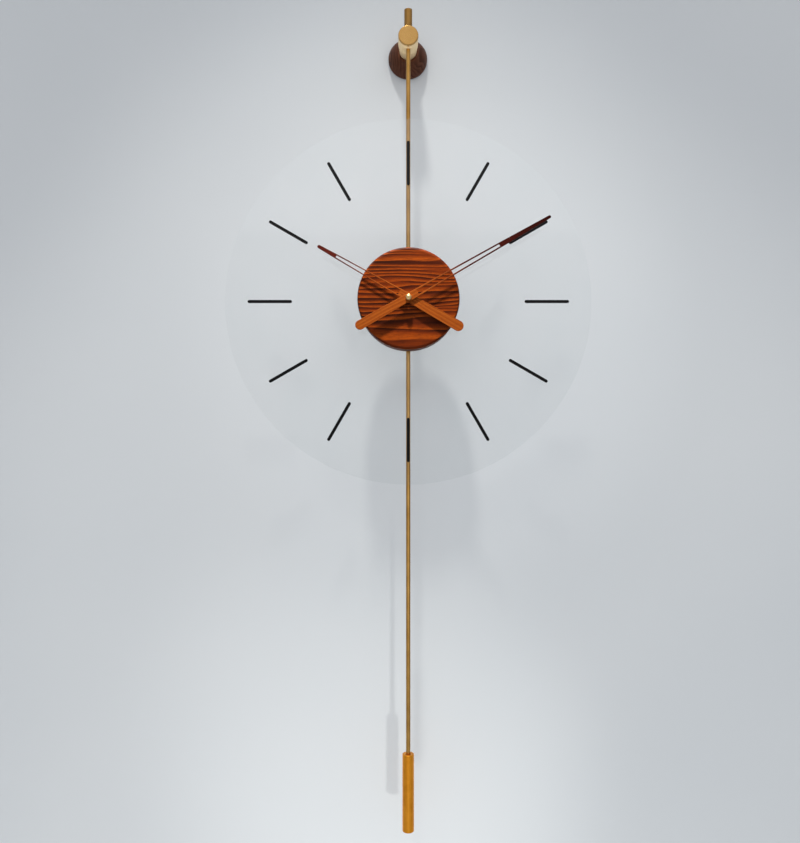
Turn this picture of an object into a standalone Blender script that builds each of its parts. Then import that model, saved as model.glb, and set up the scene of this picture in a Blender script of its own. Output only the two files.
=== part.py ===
"""Pendulum wall clock: a wall bracket carries a swinging rod with a clear dial, a wooden hub and a weight.

Metres, +Z up. The origin is the centre of the wall plate's back face. The wall is the plane y = 0 and the
clock hangs on its -Y side. Most pieces are stacked on an axis that runs straight out of the wall, so their
places along it are given as "out": the distance from the wall, which is -y.
"""

import math

import bmesh
import bpy
from mathutils import Matrix, Vector

MM = 0.001
GAP = 0.3 * MM  # air between neighbouring solids
RUN = 0.1 * MM  # running clearance of the swing pivot

# Heights of the main axes
PIVOT_Z = 0.0
DIAL_Z = -361.0 * MM

# Wall bracket
PLATE_RADIUS = 25.0 * MM
PLATE_THICKNESS = 2.5 * MM
PLATE_BOSS_RADIUS = 7.0 * MM
PLATE_BOSS_OUT = 10.0 * MM
PLATE_SCREW_OFFSET = 17.0 * MM
PLATE_SCREW_HOLE = 2.25 * MM
STUD_RADIUS = 3.0 * MM
STUD_OUT = (3.8 * MM, 39.7 * MM)
ROSETTE_RADIUS = 28.0 * MM
ROSETTE_RIM = 5.0 * MM
ROSETTE_NECK_RADIUS = 14.8 * MM
ROSETTE_OUT = 27.7 * MM
POST_OUT = (28.0 * MM, 52.0 * MM)
POST_BACK_RADIUS = 11.8 * MM
HEAD_RADIUS = 13.7 * MM
PIVOT_RADIUS = 4.0 * MM

# Swinging head
HEAD_OUT = (52.4 * MM, 71.7 * MM)
KNOB_OUT = (72.0 * MM, 80.0 * MM)
KNOB_FACE_RADIUS = 11.2 * MM
BUSH_RADIUS = 6.0 * MM
BUSH_FLANGE_RADIUS = 9.0 * MM
BUSH_FLANGE = 1.5 * MM
HEAD_CAVITY_RADIUS = 7.5 * MM

# Rod, collar and weight
ROD_OUT = 66.0 * MM
ROD_RADIUS = 3.0 * MM
ROD_BORE = ROD_RADIUS + GAP
COLLAR_RADIUS = 5.5 * MM
COLLAR_Z = (14.0 * MM, 41.2 * MM)
COLLAR_CAP = 5.6 * MM
WEIGHT_RADIUS = 8.0 * MM
WEIGHT_Z = (-1087.2 * MM, -980.7 * MM)
WEIGHT_SOCKET = 20.0 * MM

# Back ring, dial and hub
RING_OUT = (59.0 * MM, 71.0 * MM)
RING_RADIUS = 58.0 * MM
ACCESS_RADIUS = 42.0 * MM
ROD_SOCKET_DEPTH = 12.7 * MM
HUB_SCREW_CIRCLE = 50.0 * MM
HUB_SCREW_RADIUS = 2.0 * MM
HUB_SCREW_OUT = 88.0 * MM
DIAL_OUT = (71.3 * MM, 74.3 * MM)
DIAL_RADIUS = 250.0 * MM
BAR_OUT = (74.6 * MM, 75.6 * MM)
BAR_LENGTH = 60.6 * MM
BAR_WIDTH = 4.3 * MM
BAR_CENTRE_RADIUS = 188.8 * MM
HUB_OUT = (74.6 * MM, 107.0 * MM)
HUB_RADIUS = 68.0 * MM
HUB_ROUNDING = 3.5 * MM
HUB_WALL = 5.0 * MM
HUB_CAVITY_RADIUS = 44.0 * MM

# Quartz movement: depths inside it are measured back from the front of its case
CASE_SIDE = 56.0 * MM
CASE_CORNER = 4.0 * MM
CASE_WALL = 1.5 * MM
CASE_FRONT_OUT = 100.9 * MM
CASE_SPLIT = (11.4 * MM, 11.7 * MM)
CASE_DEPTH = 16.5 * MM
BUSHING_RADIUS = 3.2 * MM
BUSHING_BORE = 2.75 * MM
BUSHING_HOLE = BUSHING_RADIUS + GAP
BUSHING_OUT = 110.4 * MM
BATTERY_RADIUS = 7.0 * MM
BATTERY_X = (-24.7 * MM, 24.4 * MM)
BATTERY_NUB = (2.75 * MM, 25.7 * MM)  # radius, and where it ends
BATTERY_Z = DIAL_Z - 19.2 * MM
BATTERY_DEPTH = 8.9  # depths are in millimetres
BATTERY_DIVIDER = (DIAL_Z - 11.9 * MM, DIAL_Z - 11.0 * MM)

# Arbors of the train, as (x, z) from the dial's centre
CENTRE = (0.0, 0.0)
MOTION = (-10.392 * MM, 6.0 * MM)
THIRD_STEP = (11.56 * MM, 20.0)  # distance and direction in degrees from the arbor before
SECOND_STEP = (9.36 * MM, 60.0)
INTERMEDIATE_STEP = (6.72 * MM, 150.0)
ROTOR_STEP = (7.0 * MM, 160.0)

# Teeth, as shares of the pitch or of the module
WHEEL_TOOTH = 0.42
PINION_TOOTH = 0.34
WHEEL_TAPER = 0.45
PINION_TAPER = 0.30
ADDENDUM = 0.8
DEDENDUM = 1.2

# Hands: (distance from the pivot towards the tip, half width), pivot at 0
MINUTE_ANGLE = 60.3  # degrees clockwise from 12
HOUR_ANGLE = -60.4
MINUTE_OUT = (114.4 * MM, 115.8 * MM)
HOUR_OUT = (111.6 * MM, 113.0 * MM)
MINUTE_SHAPE = ((-73.7, 6.3), (-40.0, 6.0), (0.0, 5.4), (68.0, 4.45), (138.0, 3.5), (213.5, 2.0))
HOUR_SHAPE = ((-75.5, 7.0), (-40.0, 6.4), (0.0, 5.5), (60.0, 3.9), (110.0, 3.0), (135.8, 2.25))
MINUTE_SLOT = (14.0, 138.0)
HOUR_SLOT = (14.0, 110.0)
MINUTE_RAIL = 2.0  # width of each rail beside a slot
HOUR_RAIL = 1.6
HOUR_TUBE = (1.65 * MM, 2.4 * MM)
MINUTE_ARBOR = 1.3 * MM
CAP_NUT_RADIUS = 4.0 * MM
CAP_NUT_OUT = (116.1 * MM, 121.4 * MM)

# Facets round a circle
FINE, ROUND, SMALL, TINY = 64, 32, 16, 12

MATERIALS = {  # sRGB colour, roughness, metallic
    "brushed_brass": ("#B8935A", 0.32, 1.0),
    "polished_brass": ("#D9AE66", 0.18, 1.0),
    "walnut_dark": ("#4A2A20", 0.45, 0.0),
    "walnut_hub": ("#8F4014", 0.38, 0.0),
    "walnut_hand": ("#A04A16", 0.40, 0.0),
    "clear_acrylic": ("#E8EEF0", 0.05, 0.0),
    "black_acrylic": ("#0B0B0C", 0.30, 0.0),
    "zinc_steel": ("#A9ACAE", 0.35, 1.0),
    "bronze": ("#A87B3F", 0.40, 1.0),
    "black_abs": ("#17181A", 0.50, 0.0),
    "white_acetal": ("#E9E7DF", 0.45, 0.0),
    "gear_brass": ("#C9A24A", 0.30, 1.0),
    "copper_wire": ("#B4622D", 0.35, 1.0),
    "silicon_steel": ("#8E9194", 0.40, 1.0),
    "circuit_green": ("#1E5A34", 0.45, 0.0),
    "battery_wrap": ("#3A3D42", 0.35, 0.0),
    "nitrile_rubber": ("#1B1B1B", 0.80, 0.0),
}


def clear_scene():
    for obj in list(bpy.data.objects):
        bpy.data.objects.remove(obj, do_unlink=True)


def new_collection(name):
    made = bpy.data.collections.new(name)
    bpy.context.scene.collection.children.link(made)
    return made


def linear(part):
    return part / 12.92 if part <= 0.04045 else ((part + 0.055) / 1.055) ** 2.4


def make_material(name):
    colour, roughness, metallic = MATERIALS[name]
    made = bpy.data.materials.new(name)
    made.use_nodes = True
    shader = made.node_tree.nodes["Principled BSDF"]
    rgb = [linear(int(colour[i : i + 2], 16) / 255) for i in (1, 3, 5)]
    shader.inputs["Base Color"].default_value = (*rgb, 1.0)
    shader.inputs["Roughness"].default_value = roughness
    shader.inputs["Metallic"].default_value = metallic
    return made


def world(x, out, z):
    """A point given by its distance out of the wall."""
    return Vector((x, -out, z))


def add_object(name, mesh, collection, material=None):
    obj = bpy.data.objects.new(name, mesh)
    collection.objects.link(obj)
    if material:
        mesh.materials.clear()
        mesh.materials.append(material)
    return obj


def add_axis(name, x, out, z, parent=None):
    """An empty on a joint's axis. The pieces that turn together are its children."""
    axis = bpy.data.objects.new(name, None)
    axis.empty_display_size = 10 * MM
    axis.location = world(x, out, z)
    PARTS.objects.link(axis)
    if parent:
        attach(axis, parent)
    return axis


def attach(obj, axis):
    """Parents obj to axis and leaves it where it stands.

    No axis is turned, and each keeps its place in the world as its location, so that place is undone.
    """
    obj.parent = axis
    obj.matrix_parent_inverse = Matrix.Translation(-axis.location)


def turned(name, profile, axis, place, steps, material, collection=None):
    """A lathe shape. The profile is (radius, height) from the outer side's top to its bottom.

    It is closed over its last and first points, or on the axis where both have no radius. Heights run
    out of the wall for the axis OUT, up for UP and to the right for RIGHT.
    """
    mesh = bpy.data.meshes.new(name)
    count = len(profile)
    on_axis = profile[0][0] == 0 and profile[-1][0] == 0
    edges = [(i, (i + 1) % count) for i in range(count - 1 if on_axis else count)]
    mesh.from_pydata([(r, 0, h) for r, h in profile], edges, [])
    obj = add_object(name, mesh, collection or PARTS, material)
    obj.location = place
    obj.rotation_euler = {"OUT": (math.pi / 2, 0, 0), "UP": (0, 0, 0), "RIGHT": (0, math.pi / 2, 0)}[axis]
    screw = obj.modifiers.new("Lathe", "SCREW")
    screw.steps = steps
    screw.render_steps = steps
    screw.use_merge_vertices = True
    screw.merge_threshold = 0.01 * MM
    screw.use_smooth_shade = True
    return obj


def cylinder(name, radius, start, end, segments, collection, material=None):
    """A plain round bar between two points."""
    mesh = bpy.data.meshes.new(name)
    shape = bmesh.new()
    length = (end - start).length
    bmesh.ops.create_cone(
        shape, cap_ends=True, segments=segments, radius1=radius, radius2=radius, depth=length
    )
    shape.to_mesh(mesh)
    shape.free()
    mesh.shade_smooth()
    mesh.set_sharp_from_angle(angle=math.radians(40))
    obj = add_object(name, mesh, collection, material)
    obj.location = (start + end) / 2
    obj.rotation_euler = (end - start).to_track_quat("Z", "Y").to_euler()
    return obj


def box(name, xs, outs, zs, collection, material=None):
    """A plain block, given by its lowest and highest x, distance out and z."""
    low, high = world(xs[0], outs[1], zs[0]), world(xs[1], outs[0], zs[1])
    mesh = bpy.data.meshes.new(name)
    shape = bmesh.new()
    bmesh.ops.create_cube(shape, size=1.0)
    bmesh.ops.scale(shape, vec=high - low, verts=shape.verts)
    shape.to_mesh(mesh)
    shape.free()
    obj = add_object(name, mesh, collection, material)
    obj.location = (low + high) / 2
    return obj


def cutter(radius, start, end, segments=SMALL):
    return as_cutter(cylinder("cutter", radius, start, end, segments, CUTTERS))


def as_cutter(obj):
    obj.hide_render = True
    obj.display_type = "WIRE"
    return obj


def boolean(obj, other, operation="DIFFERENCE"):
    modifier = obj.modifiers.new(operation.title(), "BOOLEAN")
    modifier.operation = operation
    modifier.object = other
    modifier.solver = "EXACT"


def plate(name, outlines, out, material, collection=None):
    """A flat piece that faces the room. outlines are (x, z) loops, the first outer and the others holes.

    out is the distance of its back and its front from the wall.
    """
    back, front = out
    curve = bpy.data.curves.new(name, "CURVE")
    curve.dimensions = "2D"
    curve.fill_mode = "BOTH"
    curve.extrude = (front - back) / 2
    for outline in outlines:
        spline = curve.splines.new("POLY")
        spline.points.add(len(outline) - 1)
        for point, (x, z) in zip(spline.points, outline):
            point.co = (x, z, 0, 1)
        spline.use_cyclic_u = True
    drawn = bpy.data.objects.new(name + "_outline", curve)
    bpy.context.scene.collection.objects.link(drawn)
    drawn.location = world(0, (back + front) / 2, 0)
    drawn.rotation_euler = (math.pi / 2, 0, 0)
    bpy.context.view_layer.update()
    graph = bpy.context.evaluated_depsgraph_get()
    mesh = bpy.data.meshes.new_from_object(drawn.evaluated_get(graph))
    mesh.name = name
    shape = bmesh.new()
    shape.from_mesh(mesh)
    bmesh.ops.remove_doubles(shape, verts=shape.verts, dist=0.001 * MM)
    bmesh.ops.recalc_face_normals(shape, faces=shape.faces)
    shape.to_mesh(mesh)
    shape.free()
    obj = add_object(name, mesh, collection or PARTS, material)
    obj.matrix_world = drawn.matrix_world.copy()
    bpy.data.objects.remove(drawn)
    return obj


def arc(x, z, radius, start, end, count):
    """Points on a circle from start to end in degrees, both ends included."""
    turns = [math.radians(start + (end - start) * i / (count - 1)) for i in range(count)]
    return [(x + radius * math.cos(t), z + radius * math.sin(t)) for t in turns]


def circle(x, z, radius, count):
    return arc(x, z, radius, 0, 360 - 360 / count, count)


def rounded_square(x, z, width, height, corner, count=5):
    right, top = width / 2 - corner, height / 2 - corner
    corners = ((right, top, 0), (-right, top, 90), (-right, -top, 180), (right, -top, 270))
    loops = [arc(x + cx, z + cz, corner, start, start + 90, count) for cx, cz, start in corners]
    return [point for loop in loops for point in loop]


def step_from(point, step):
    """The point at a distance and a direction in degrees from another."""
    distance, direction = step
    angle = math.radians(direction)
    return point[0] + distance * math.cos(angle), point[1] + distance * math.sin(angle)


# ---------------------------------------------------------------- wall bracket


def build_bracket():
    steel, brass = MATERIAL["zinc_steel"], MATERIAL["brushed_brass"]
    bore = STUD_RADIUS + GAP
    floor = STUD_OUT[0] - GAP
    wall_plate = turned(
        "wall_plate",
        [
            (0, floor),
            (bore, floor),
            (bore, PLATE_BOSS_OUT),
            (PLATE_BOSS_RADIUS, PLATE_BOSS_OUT),
            (PLATE_BOSS_RADIUS, PLATE_THICKNESS),
            (PLATE_RADIUS, PLATE_THICKNESS),
            (PLATE_RADIUS, 0),
            (0, 0),
        ],
        "OUT",
        (0, 0, PIVOT_Z),
        ROUND,
        steel,
    )
    for side in (-1, 1):
        x = side * PLATE_SCREW_OFFSET
        boolean(wall_plate, cutter(PLATE_SCREW_HOLE, world(x, -MM, 0), world(x, 5 * MM, 0)))

    recess, boss = PLATE_RADIUS + GAP, PLATE_BOSS_RADIUS + GAP
    turned(
        "wall_rosette",
        [
            (bore, ROSETTE_OUT),
            *rosette_side(),
            (ROSETTE_RADIUS, 0),
            (recess, 0),
            (recess, PLATE_THICKNESS + GAP),
            (boss, PLATE_THICKNESS + GAP),
            (boss, PLATE_BOSS_OUT + GAP),
            (bore, PLATE_BOSS_OUT + GAP),
        ],
        "OUT",
        (0, 0, PIVOT_Z),
        ROUND,
        MATERIAL["walnut_dark"],
    )

    back, front = POST_OUT
    web = 1.0 * MM
    middle = STUD_OUT[1] + GAP + web
    turned(
        "bracket_post",
        [
            (0, middle + web),
            (bore, middle + web),
            (bore, front),
            (HEAD_RADIUS, front),
            (POST_BACK_RADIUS, back),
            (bore, back),
            (bore, middle - web),
            (0, middle - web),
        ],
        "OUT",
        (0, 0, PIVOT_Z),
        ROUND,
        brass,
    )
    cylinder(
        "post_stud", STUD_RADIUS, world(0, STUD_OUT[0], 0), world(0, STUD_OUT[1], 0), SMALL, PARTS, steel
    )
    pivot_bolt(middle + web + GAP)


def rosette_side():
    """The rosette's outer side: a full curve from its neck down to a short straight rim."""
    rise = ROSETTE_OUT - ROSETTE_RIM
    spread = ROSETTE_RADIUS - ROSETTE_NECK_RADIUS
    steps = 6
    side = []
    for i in range(steps + 1):
        share = i / steps
        swell = 0.16 * math.sin(math.pi * share)
        radius = ROSETTE_NECK_RADIUS + spread * (share + swell)
        side.append((min(radius, ROSETTE_RADIUS), ROSETTE_OUT - rise * share))
    return side


def pivot_bolt(thread_end):
    """A shoulder bolt that is screwed into the post from the front. The head swings on its shoulder."""
    shoulder = POST_OUT[1] + GAP
    head_back = HEAD_OUT[0] + 6.9 * MM
    head_front = head_back + 3.0 * MM
    key, key_depth, head_radius = 1.8 * MM, 1.8 * MM, 6.4 * MM
    turned(
        "pivot_bolt",
        [
            (0, head_front - key_depth),
            (key, head_front - key_depth),
            (key, head_front),
            (head_radius, head_front),
            (head_radius, head_back),
            (PIVOT_RADIUS, head_back),
            (PIVOT_RADIUS, shoulder),
            (STUD_RADIUS, shoulder),
            (STUD_RADIUS, thread_end),
            (0, thread_end),
        ],
        "OUT",
        (0, 0, PIVOT_Z),
        ROUND,
        MATERIAL["zinc_steel"],
    )


# ---------------------------------------------------------------- swinging head, rod and weight


def build_head(axis):
    back, front = HEAD_OUT
    bore = PIVOT_RADIUS + RUN
    flange_front = back + BUSH_FLANGE
    barrel_front = back + 6.6 * MM
    attach(
        turned(
            "pivot_bush",
            [
                (bore, barrel_front),
                (BUSH_RADIUS, barrel_front),
                (BUSH_RADIUS, flange_front),
                (BUSH_FLANGE_RADIUS, flange_front),
                (BUSH_FLANGE_RADIUS, back),
                (bore, back),
            ],
            "OUT",
            (0, 0, PIVOT_Z),
            ROUND,
            MATERIAL["bronze"],
        ),
        axis,
    )

    seat, recess, chamfer = BUSH_RADIUS + GAP, BUSH_FLANGE_RADIUS + GAP, 0.6 * MM
    head = turned(
        "swing_head",
        [
            (HEAD_CAVITY_RADIUS, front),
            (HEAD_RADIUS - chamfer, front),
            (HEAD_RADIUS, front - chamfer),
            (HEAD_RADIUS, back),
            (recess, back),
            (recess, flange_front + GAP),
            (seat, flange_front + GAP),
            (seat, barrel_front),
            (HEAD_CAVITY_RADIUS, barrel_front),
        ],
        "OUT",
        (0, 0, PIVOT_Z),
        ROUND,
        MATERIAL["brushed_brass"],
    )
    reach = 1.2 * HEAD_RADIUS
    boolean(head, cutter(ROD_BORE, world(0, ROD_OUT, -reach), world(0, ROD_OUT, reach), SMALL))
    attach(head, axis)

    knob_back, knob_front = KNOB_OUT
    stem_radius, stem_back = HEAD_CAVITY_RADIUS - GAP, ROD_OUT + ROD_RADIUS + GAP
    edge, rim = 0.8 * MM, 2.5 * MM
    attach(
        turned(
            "front_knob",
            [
                (0, knob_front),
                (KNOB_FACE_RADIUS, knob_front),
                (HEAD_RADIUS - edge, knob_front - rim + edge),
                (HEAD_RADIUS, knob_front - rim),
                (HEAD_RADIUS, knob_back + edge),
                (HEAD_RADIUS - edge, knob_back),
                (stem_radius, knob_back),
                (stem_radius, stem_back),
                (0, stem_back),
            ],
            "OUT",
            (0, 0, PIVOT_Z),
            ROUND,
            MATERIAL["polished_brass"],
        ),
        axis,
    )


def build_rod(axis):
    brass = MATERIAL["brushed_brass"]
    low, high = COLLAR_Z
    edge = 0.5 * MM
    ceiling = high - COLLAR_CAP
    attach(
        turned(
            "rod_collar",
            [
                (0, high),
                (COLLAR_RADIUS - edge, high),
                (COLLAR_RADIUS, high - edge),
                (COLLAR_RADIUS, low + edge),
                (COLLAR_RADIUS - edge, low),
                (ROD_BORE, low),
                (ROD_BORE, ceiling),
                (0, ceiling),
            ],
            "UP",
            world(0, ROD_OUT, 0),
            ROUND,
            brass,
        ),
        axis,
    )

    socket_end = RING_RADIUS - ROD_SOCKET_DEPTH + GAP
    rods = (
        ("upper_rod", DIAL_Z + socket_end, ceiling - GAP),
        ("lower_rod", WEIGHT_Z[1] - WEIGHT_SOCKET + GAP, DIAL_Z - socket_end),
    )
    for name, bottom, top in rods:
        ends = world(0, ROD_OUT, bottom), world(0, ROD_OUT, top)
        attach(cylinder(name, ROD_RADIUS, *ends, SMALL, PARTS, brass), axis)

    bottom, top = WEIGHT_Z
    edge = 0.6 * MM
    attach(
        turned(
            "pendulum_weight",
            [
                (0, top - WEIGHT_SOCKET),
                (ROD_BORE, top - WEIGHT_SOCKET),
                (ROD_BORE, top),
                (WEIGHT_RADIUS - edge, top),
                (WEIGHT_RADIUS, top - edge),
                (WEIGHT_RADIUS, bottom + edge),
                (WEIGHT_RADIUS - edge, bottom),
                (0, bottom),
            ],
            "UP",
            world(0, ROD_OUT, 0),
            ROUND,
            MATERIAL["polished_brass"],
        ),
        axis,
    )


# ---------------------------------------------------------------- ring, dial and hub


def screw_places():
    """The four hub screws, on the diagonals."""
    turns = [math.radians(45 + 90 * i) for i in range(4)]
    return [(HUB_SCREW_CIRCLE * math.cos(t), DIAL_Z + HUB_SCREW_CIRCLE * math.sin(t)) for t in turns]


def drill_screw_holes(obj, back, front):
    for x, z in screw_places():
        boolean(obj, cutter(HUB_SCREW_RADIUS + GAP, world(x, back, z), world(x, front, z)))


def screw(name, x, z, radius, tip, seat, head_radius, head_length, axis):
    """A pan-head screw driven from behind. tip and seat are distances out of the wall."""
    back = seat - head_length
    edge = 0.25 * head_length
    profile = [
        (0, tip),
        (radius, tip),
        (radius, seat),
        (head_radius, seat),
        (head_radius, back + edge),
        (head_radius - edge, back),
        (0, back),
    ]
    made = turned(name, profile, "OUT", world(x, 0, z), SMALL, MATERIAL["zinc_steel"])
    attach(made, axis)


def build_ring(axis):
    back, front = RING_OUT
    ring = turned(
        "back_ring",
        [(ACCESS_RADIUS, front), (RING_RADIUS, front), (RING_RADIUS, back), (ACCESS_RADIUS, back)],
        "OUT",
        world(0, 0, DIAL_Z),
        FINE,
        MATERIAL["zinc_steel"],
    )
    drill_screw_holes(ring, back - MM, front + MM)
    clamp_radius = 2.0 * MM
    clamp_reach = RING_RADIUS - ROD_SOCKET_DEPTH / 2
    for side, name in ((1, "upper_rod_clamp_screw"), (-1, "lower_rod_clamp_screw")):
        inner = DIAL_Z + side * (RING_RADIUS - ROD_SOCKET_DEPTH)
        outer = DIAL_Z + side * (RING_RADIUS + 2 * MM)
        boolean(ring, cutter(ROD_BORE, world(0, ROD_OUT, inner), world(0, ROD_OUT, outer)))
        z = DIAL_Z + side * clamp_reach
        boolean(ring, cutter(clamp_radius + GAP, world(0, back - MM, z), world(0, ROD_OUT, z)))
        tip = ROD_OUT - ROD_RADIUS - GAP
        screw(name, 0, z, clamp_radius, tip, back - GAP, 3.4 * MM, 2.4 * MM, axis)
    attach(ring, axis)
    for number, (x, z) in enumerate(screw_places(), 1):
        name = f"hub_screw_{number}"
        screw(name, x, z, HUB_SCREW_RADIUS, HUB_SCREW_OUT, back - GAP, 3.6 * MM, 2.4 * MM, axis)


def build_dial(axis):
    back, front = DIAL_OUT
    edge = 0.4 * MM
    dial = turned(
        "dial_plate",
        [
            (ACCESS_RADIUS, front),
            (DIAL_RADIUS - edge, front),
            (DIAL_RADIUS, front - edge),
            (DIAL_RADIUS, back + edge),
            (DIAL_RADIUS - edge, back),
            (ACCESS_RADIUS, back),
        ],
        "OUT",
        world(0, 0, DIAL_Z),
        FINE,
        MATERIAL["clear_acrylic"],
    )
    drill_screw_holes(dial, back - MM, front + MM)
    attach(dial, axis)

    end = BAR_WIDTH / 2
    reach = BAR_LENGTH / 2 - end
    outline = arc(reach, 0, end, -90, 90, 7) + arc(-reach, 0, end, 90, 270, 7)
    for hour in range(1, 13):
        turn = math.radians(90 - 30 * hour)
        placed = [
            (
                (BAR_CENTRE_RADIUS + along) * math.cos(turn) - across * math.sin(turn),
                DIAL_Z + (BAR_CENTRE_RADIUS + along) * math.sin(turn) + across * math.cos(turn),
            )
            for along, across in outline
        ]
        attach(plate(f"hour_bar_{hour:02d}", [placed], BAR_OUT, MATERIAL["black_acrylic"]), axis)


def build_hub(axis):
    back, front = HUB_OUT
    round_centre = HUB_RADIUS - HUB_ROUNDING
    edge = 1.0 * MM
    bore = BUSHING_HOLE
    hub = turned(
        "hub_drum",
        [
            (bore, front),
            *arc(round_centre, front - HUB_ROUNDING, HUB_ROUNDING, 90, 0, 5),
            (HUB_RADIUS, back + edge),
            (HUB_RADIUS - edge, back),
            (HUB_CAVITY_RADIUS, back),
            (HUB_CAVITY_RADIUS, front - HUB_WALL),
            (bore, front - HUB_WALL),
        ],
        "OUT",
        world(0, 0, DIAL_Z),
        FINE,
        MATERIAL["walnut_hub"],
    )
    drill_screw_holes(hub, back - MM, HUB_SCREW_OUT + 2 * GAP)
    attach(hub, axis)


# ---------------------------------------------------------------- quartz movement


def depth(value):
    """Distance out of the wall of a depth behind the case's front, given in millimetres."""
    return CASE_FRONT_OUT - value * MM


def layer(shallow, deep):
    """The back and the front of a layer of the movement, given by its depths in millimetres."""
    return depth(deep), depth(shallow)


def case_shell(name, back, front, floor_at_front):
    """Half of the case: a rounded square box with one side open."""
    outer = rounded_square(0, DIAL_Z, CASE_SIDE, CASE_SIDE, CASE_CORNER)
    hollow = CASE_SIDE - 2 * CASE_WALL
    inner = rounded_square(0, DIAL_Z, hollow, hollow, CASE_CORNER - CASE_WALL)
    shell = plate(name, [outer], (back, front), MATERIAL["black_abs"])
    pocket = (back - MM, front - CASE_WALL) if floor_at_front else (back + CASE_WALL, front + MM)
    boolean(shell, as_cutter(plate("pocket_cutter", [inner], pocket, None, CUTTERS)))
    return shell


def build_case(axis):
    split_front, split_back = CASE_SPLIT
    front_case = case_shell(
        "movement_front_case", CASE_FRONT_OUT - split_front, CASE_FRONT_OUT, floor_at_front=True
    )
    mouth = world(0, BUSHING_OUT, DIAL_Z)
    neck = cylinder("bushing_neck", BUSHING_RADIUS, world(0, depth(0.7), DIAL_Z), mouth, ROUND, CUTTERS)
    boolean(front_case, as_cutter(neck), "UNION")
    across = (-CASE_SIDE / 2 + MM, CASE_SIDE / 2 - MM)
    divider = box("divider", across, layer(1.4, 11.0), BATTERY_DIVIDER, CUTTERS)
    boolean(front_case, as_cutter(divider), "UNION")
    bore_ends = world(0, depth(3), DIAL_Z), world(0, BUSHING_OUT + MM, DIAL_Z)
    boolean(front_case, cutter(BUSHING_BORE, *bore_ends, ROUND))
    attach(front_case, axis)

    back = CASE_FRONT_OUT - CASE_DEPTH
    back_case = case_shell(
        "movement_back_case", back, CASE_FRONT_OUT - split_back, floor_at_front=False
    )
    bay = BATTERY_RADIUS + 0.2 * MM
    window_z = (BATTERY_Z - bay, BATTERY_Z + bay)
    window = box("battery_window", (-26 * MM, 26 * MM), (back - MM, back + 3 * MM), window_z, CUTTERS)
    boolean(back_case, as_cutter(window))
    x, z = MOTION
    hole_ends = world(x, back - MM, DIAL_Z + z), world(x, back + 3 * MM, DIAL_Z + z)
    boolean(back_case, cutter(1.6 * MM, *hole_ends))
    attach(back_case, axis)

    washers = (
        ("rubber_washer", 10.0 * MM, CASE_FRONT_OUT + GAP, "nitrile_rubber"),
        ("nut_washer", 5.2 * MM, HUB_OUT[1] + GAP, "gear_brass"),
    )
    for name, radius, low, finish in washers:
        high = low + 0.5 * MM
        profile = [(BUSHING_HOLE, high), (radius, high), (radius, low), (BUSHING_HOLE, low)]
        attach(turned(name, profile, "OUT", world(0, 0, DIAL_Z), SMALL, MATERIAL[finish]), axis)
    nut_back = HUB_OUT[1] + 1.1 * MM
    nut = plate(
        "mounting_nut",
        [circle(0, DIAL_Z, 5.1 * MM, 6), circle(0, DIAL_Z, BUSHING_HOLE, SMALL)],
        (nut_back, nut_back + 2.0 * MM),
        MATERIAL["gear_brass"],
    )
    attach(nut, axis)


# ---------------------------------------------------------------- battery, circuit and motor


def build_battery(axis):
    start, end = BATTERY_X
    nub_radius, nub_end = BATTERY_NUB
    edge = 0.5 * MM
    place = world(0, depth(BATTERY_DEPTH), BATTERY_Z)
    profile = [
        (0, nub_end),
        (nub_radius, nub_end),
        (nub_radius, end),
        (BATTERY_RADIUS - edge, end),
        (BATTERY_RADIUS, end - edge),
        (BATTERY_RADIUS, start + edge),
        (BATTERY_RADIUS - edge, start),
        (0, start),
    ]
    attach(turned("battery", profile, "RIGHT", place, SMALL, MATERIAL["battery_wrap"]), axis)

    half = 4.0 * MM
    xs = (nub_end + GAP, nub_end + GAP + 0.4 * MM)
    outs = (depth(BATTERY_DEPTH) - half, depth(BATTERY_DEPTH) + half)
    heights = (BATTERY_Z - half, BATTERY_Z + half)
    tab = box("battery_contact_plate", xs, outs, heights, PARTS, MATERIAL["zinc_steel"])
    attach(tab, axis)
    attach(contact_spring(place, start), axis)


def contact_spring(place, battery_start):
    """A flat conical spring: its wire's distance from the axis grows as it runs back to the case wall."""
    wire, turns, per_turn = 0.25 * MM, 3, 10
    near, far = battery_start - GAP - wire, -CASE_SIDE / 2 + CASE_WALL + GAP + wire
    small, large = 1.6 * MM, 4.2 * MM
    curve = bpy.data.curves.new("battery_contact_spring", "CURVE")
    curve.dimensions = "3D"
    curve.bevel_depth = wire
    curve.bevel_resolution = 1
    curve.use_fill_caps = True
    spline = curve.splines.new("POLY")
    count = turns * per_turn + 1
    spline.points.add(count - 1)
    for i, point in enumerate(spline.points):
        share = i / (count - 1)
        angle = 2 * math.pi * turns * share
        radius = small + (large - small) * share
        offset = Vector((0, radius * math.cos(angle), radius * math.sin(angle)))
        point.co = (*(Vector((near + (far - near) * share, place.y, place.z)) + offset), 1)
    obj = bpy.data.objects.new("battery_contact_spring", curve)
    PARTS.objects.link(obj)
    curve.materials.append(MATERIAL["zinc_steel"])
    return obj


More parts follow.
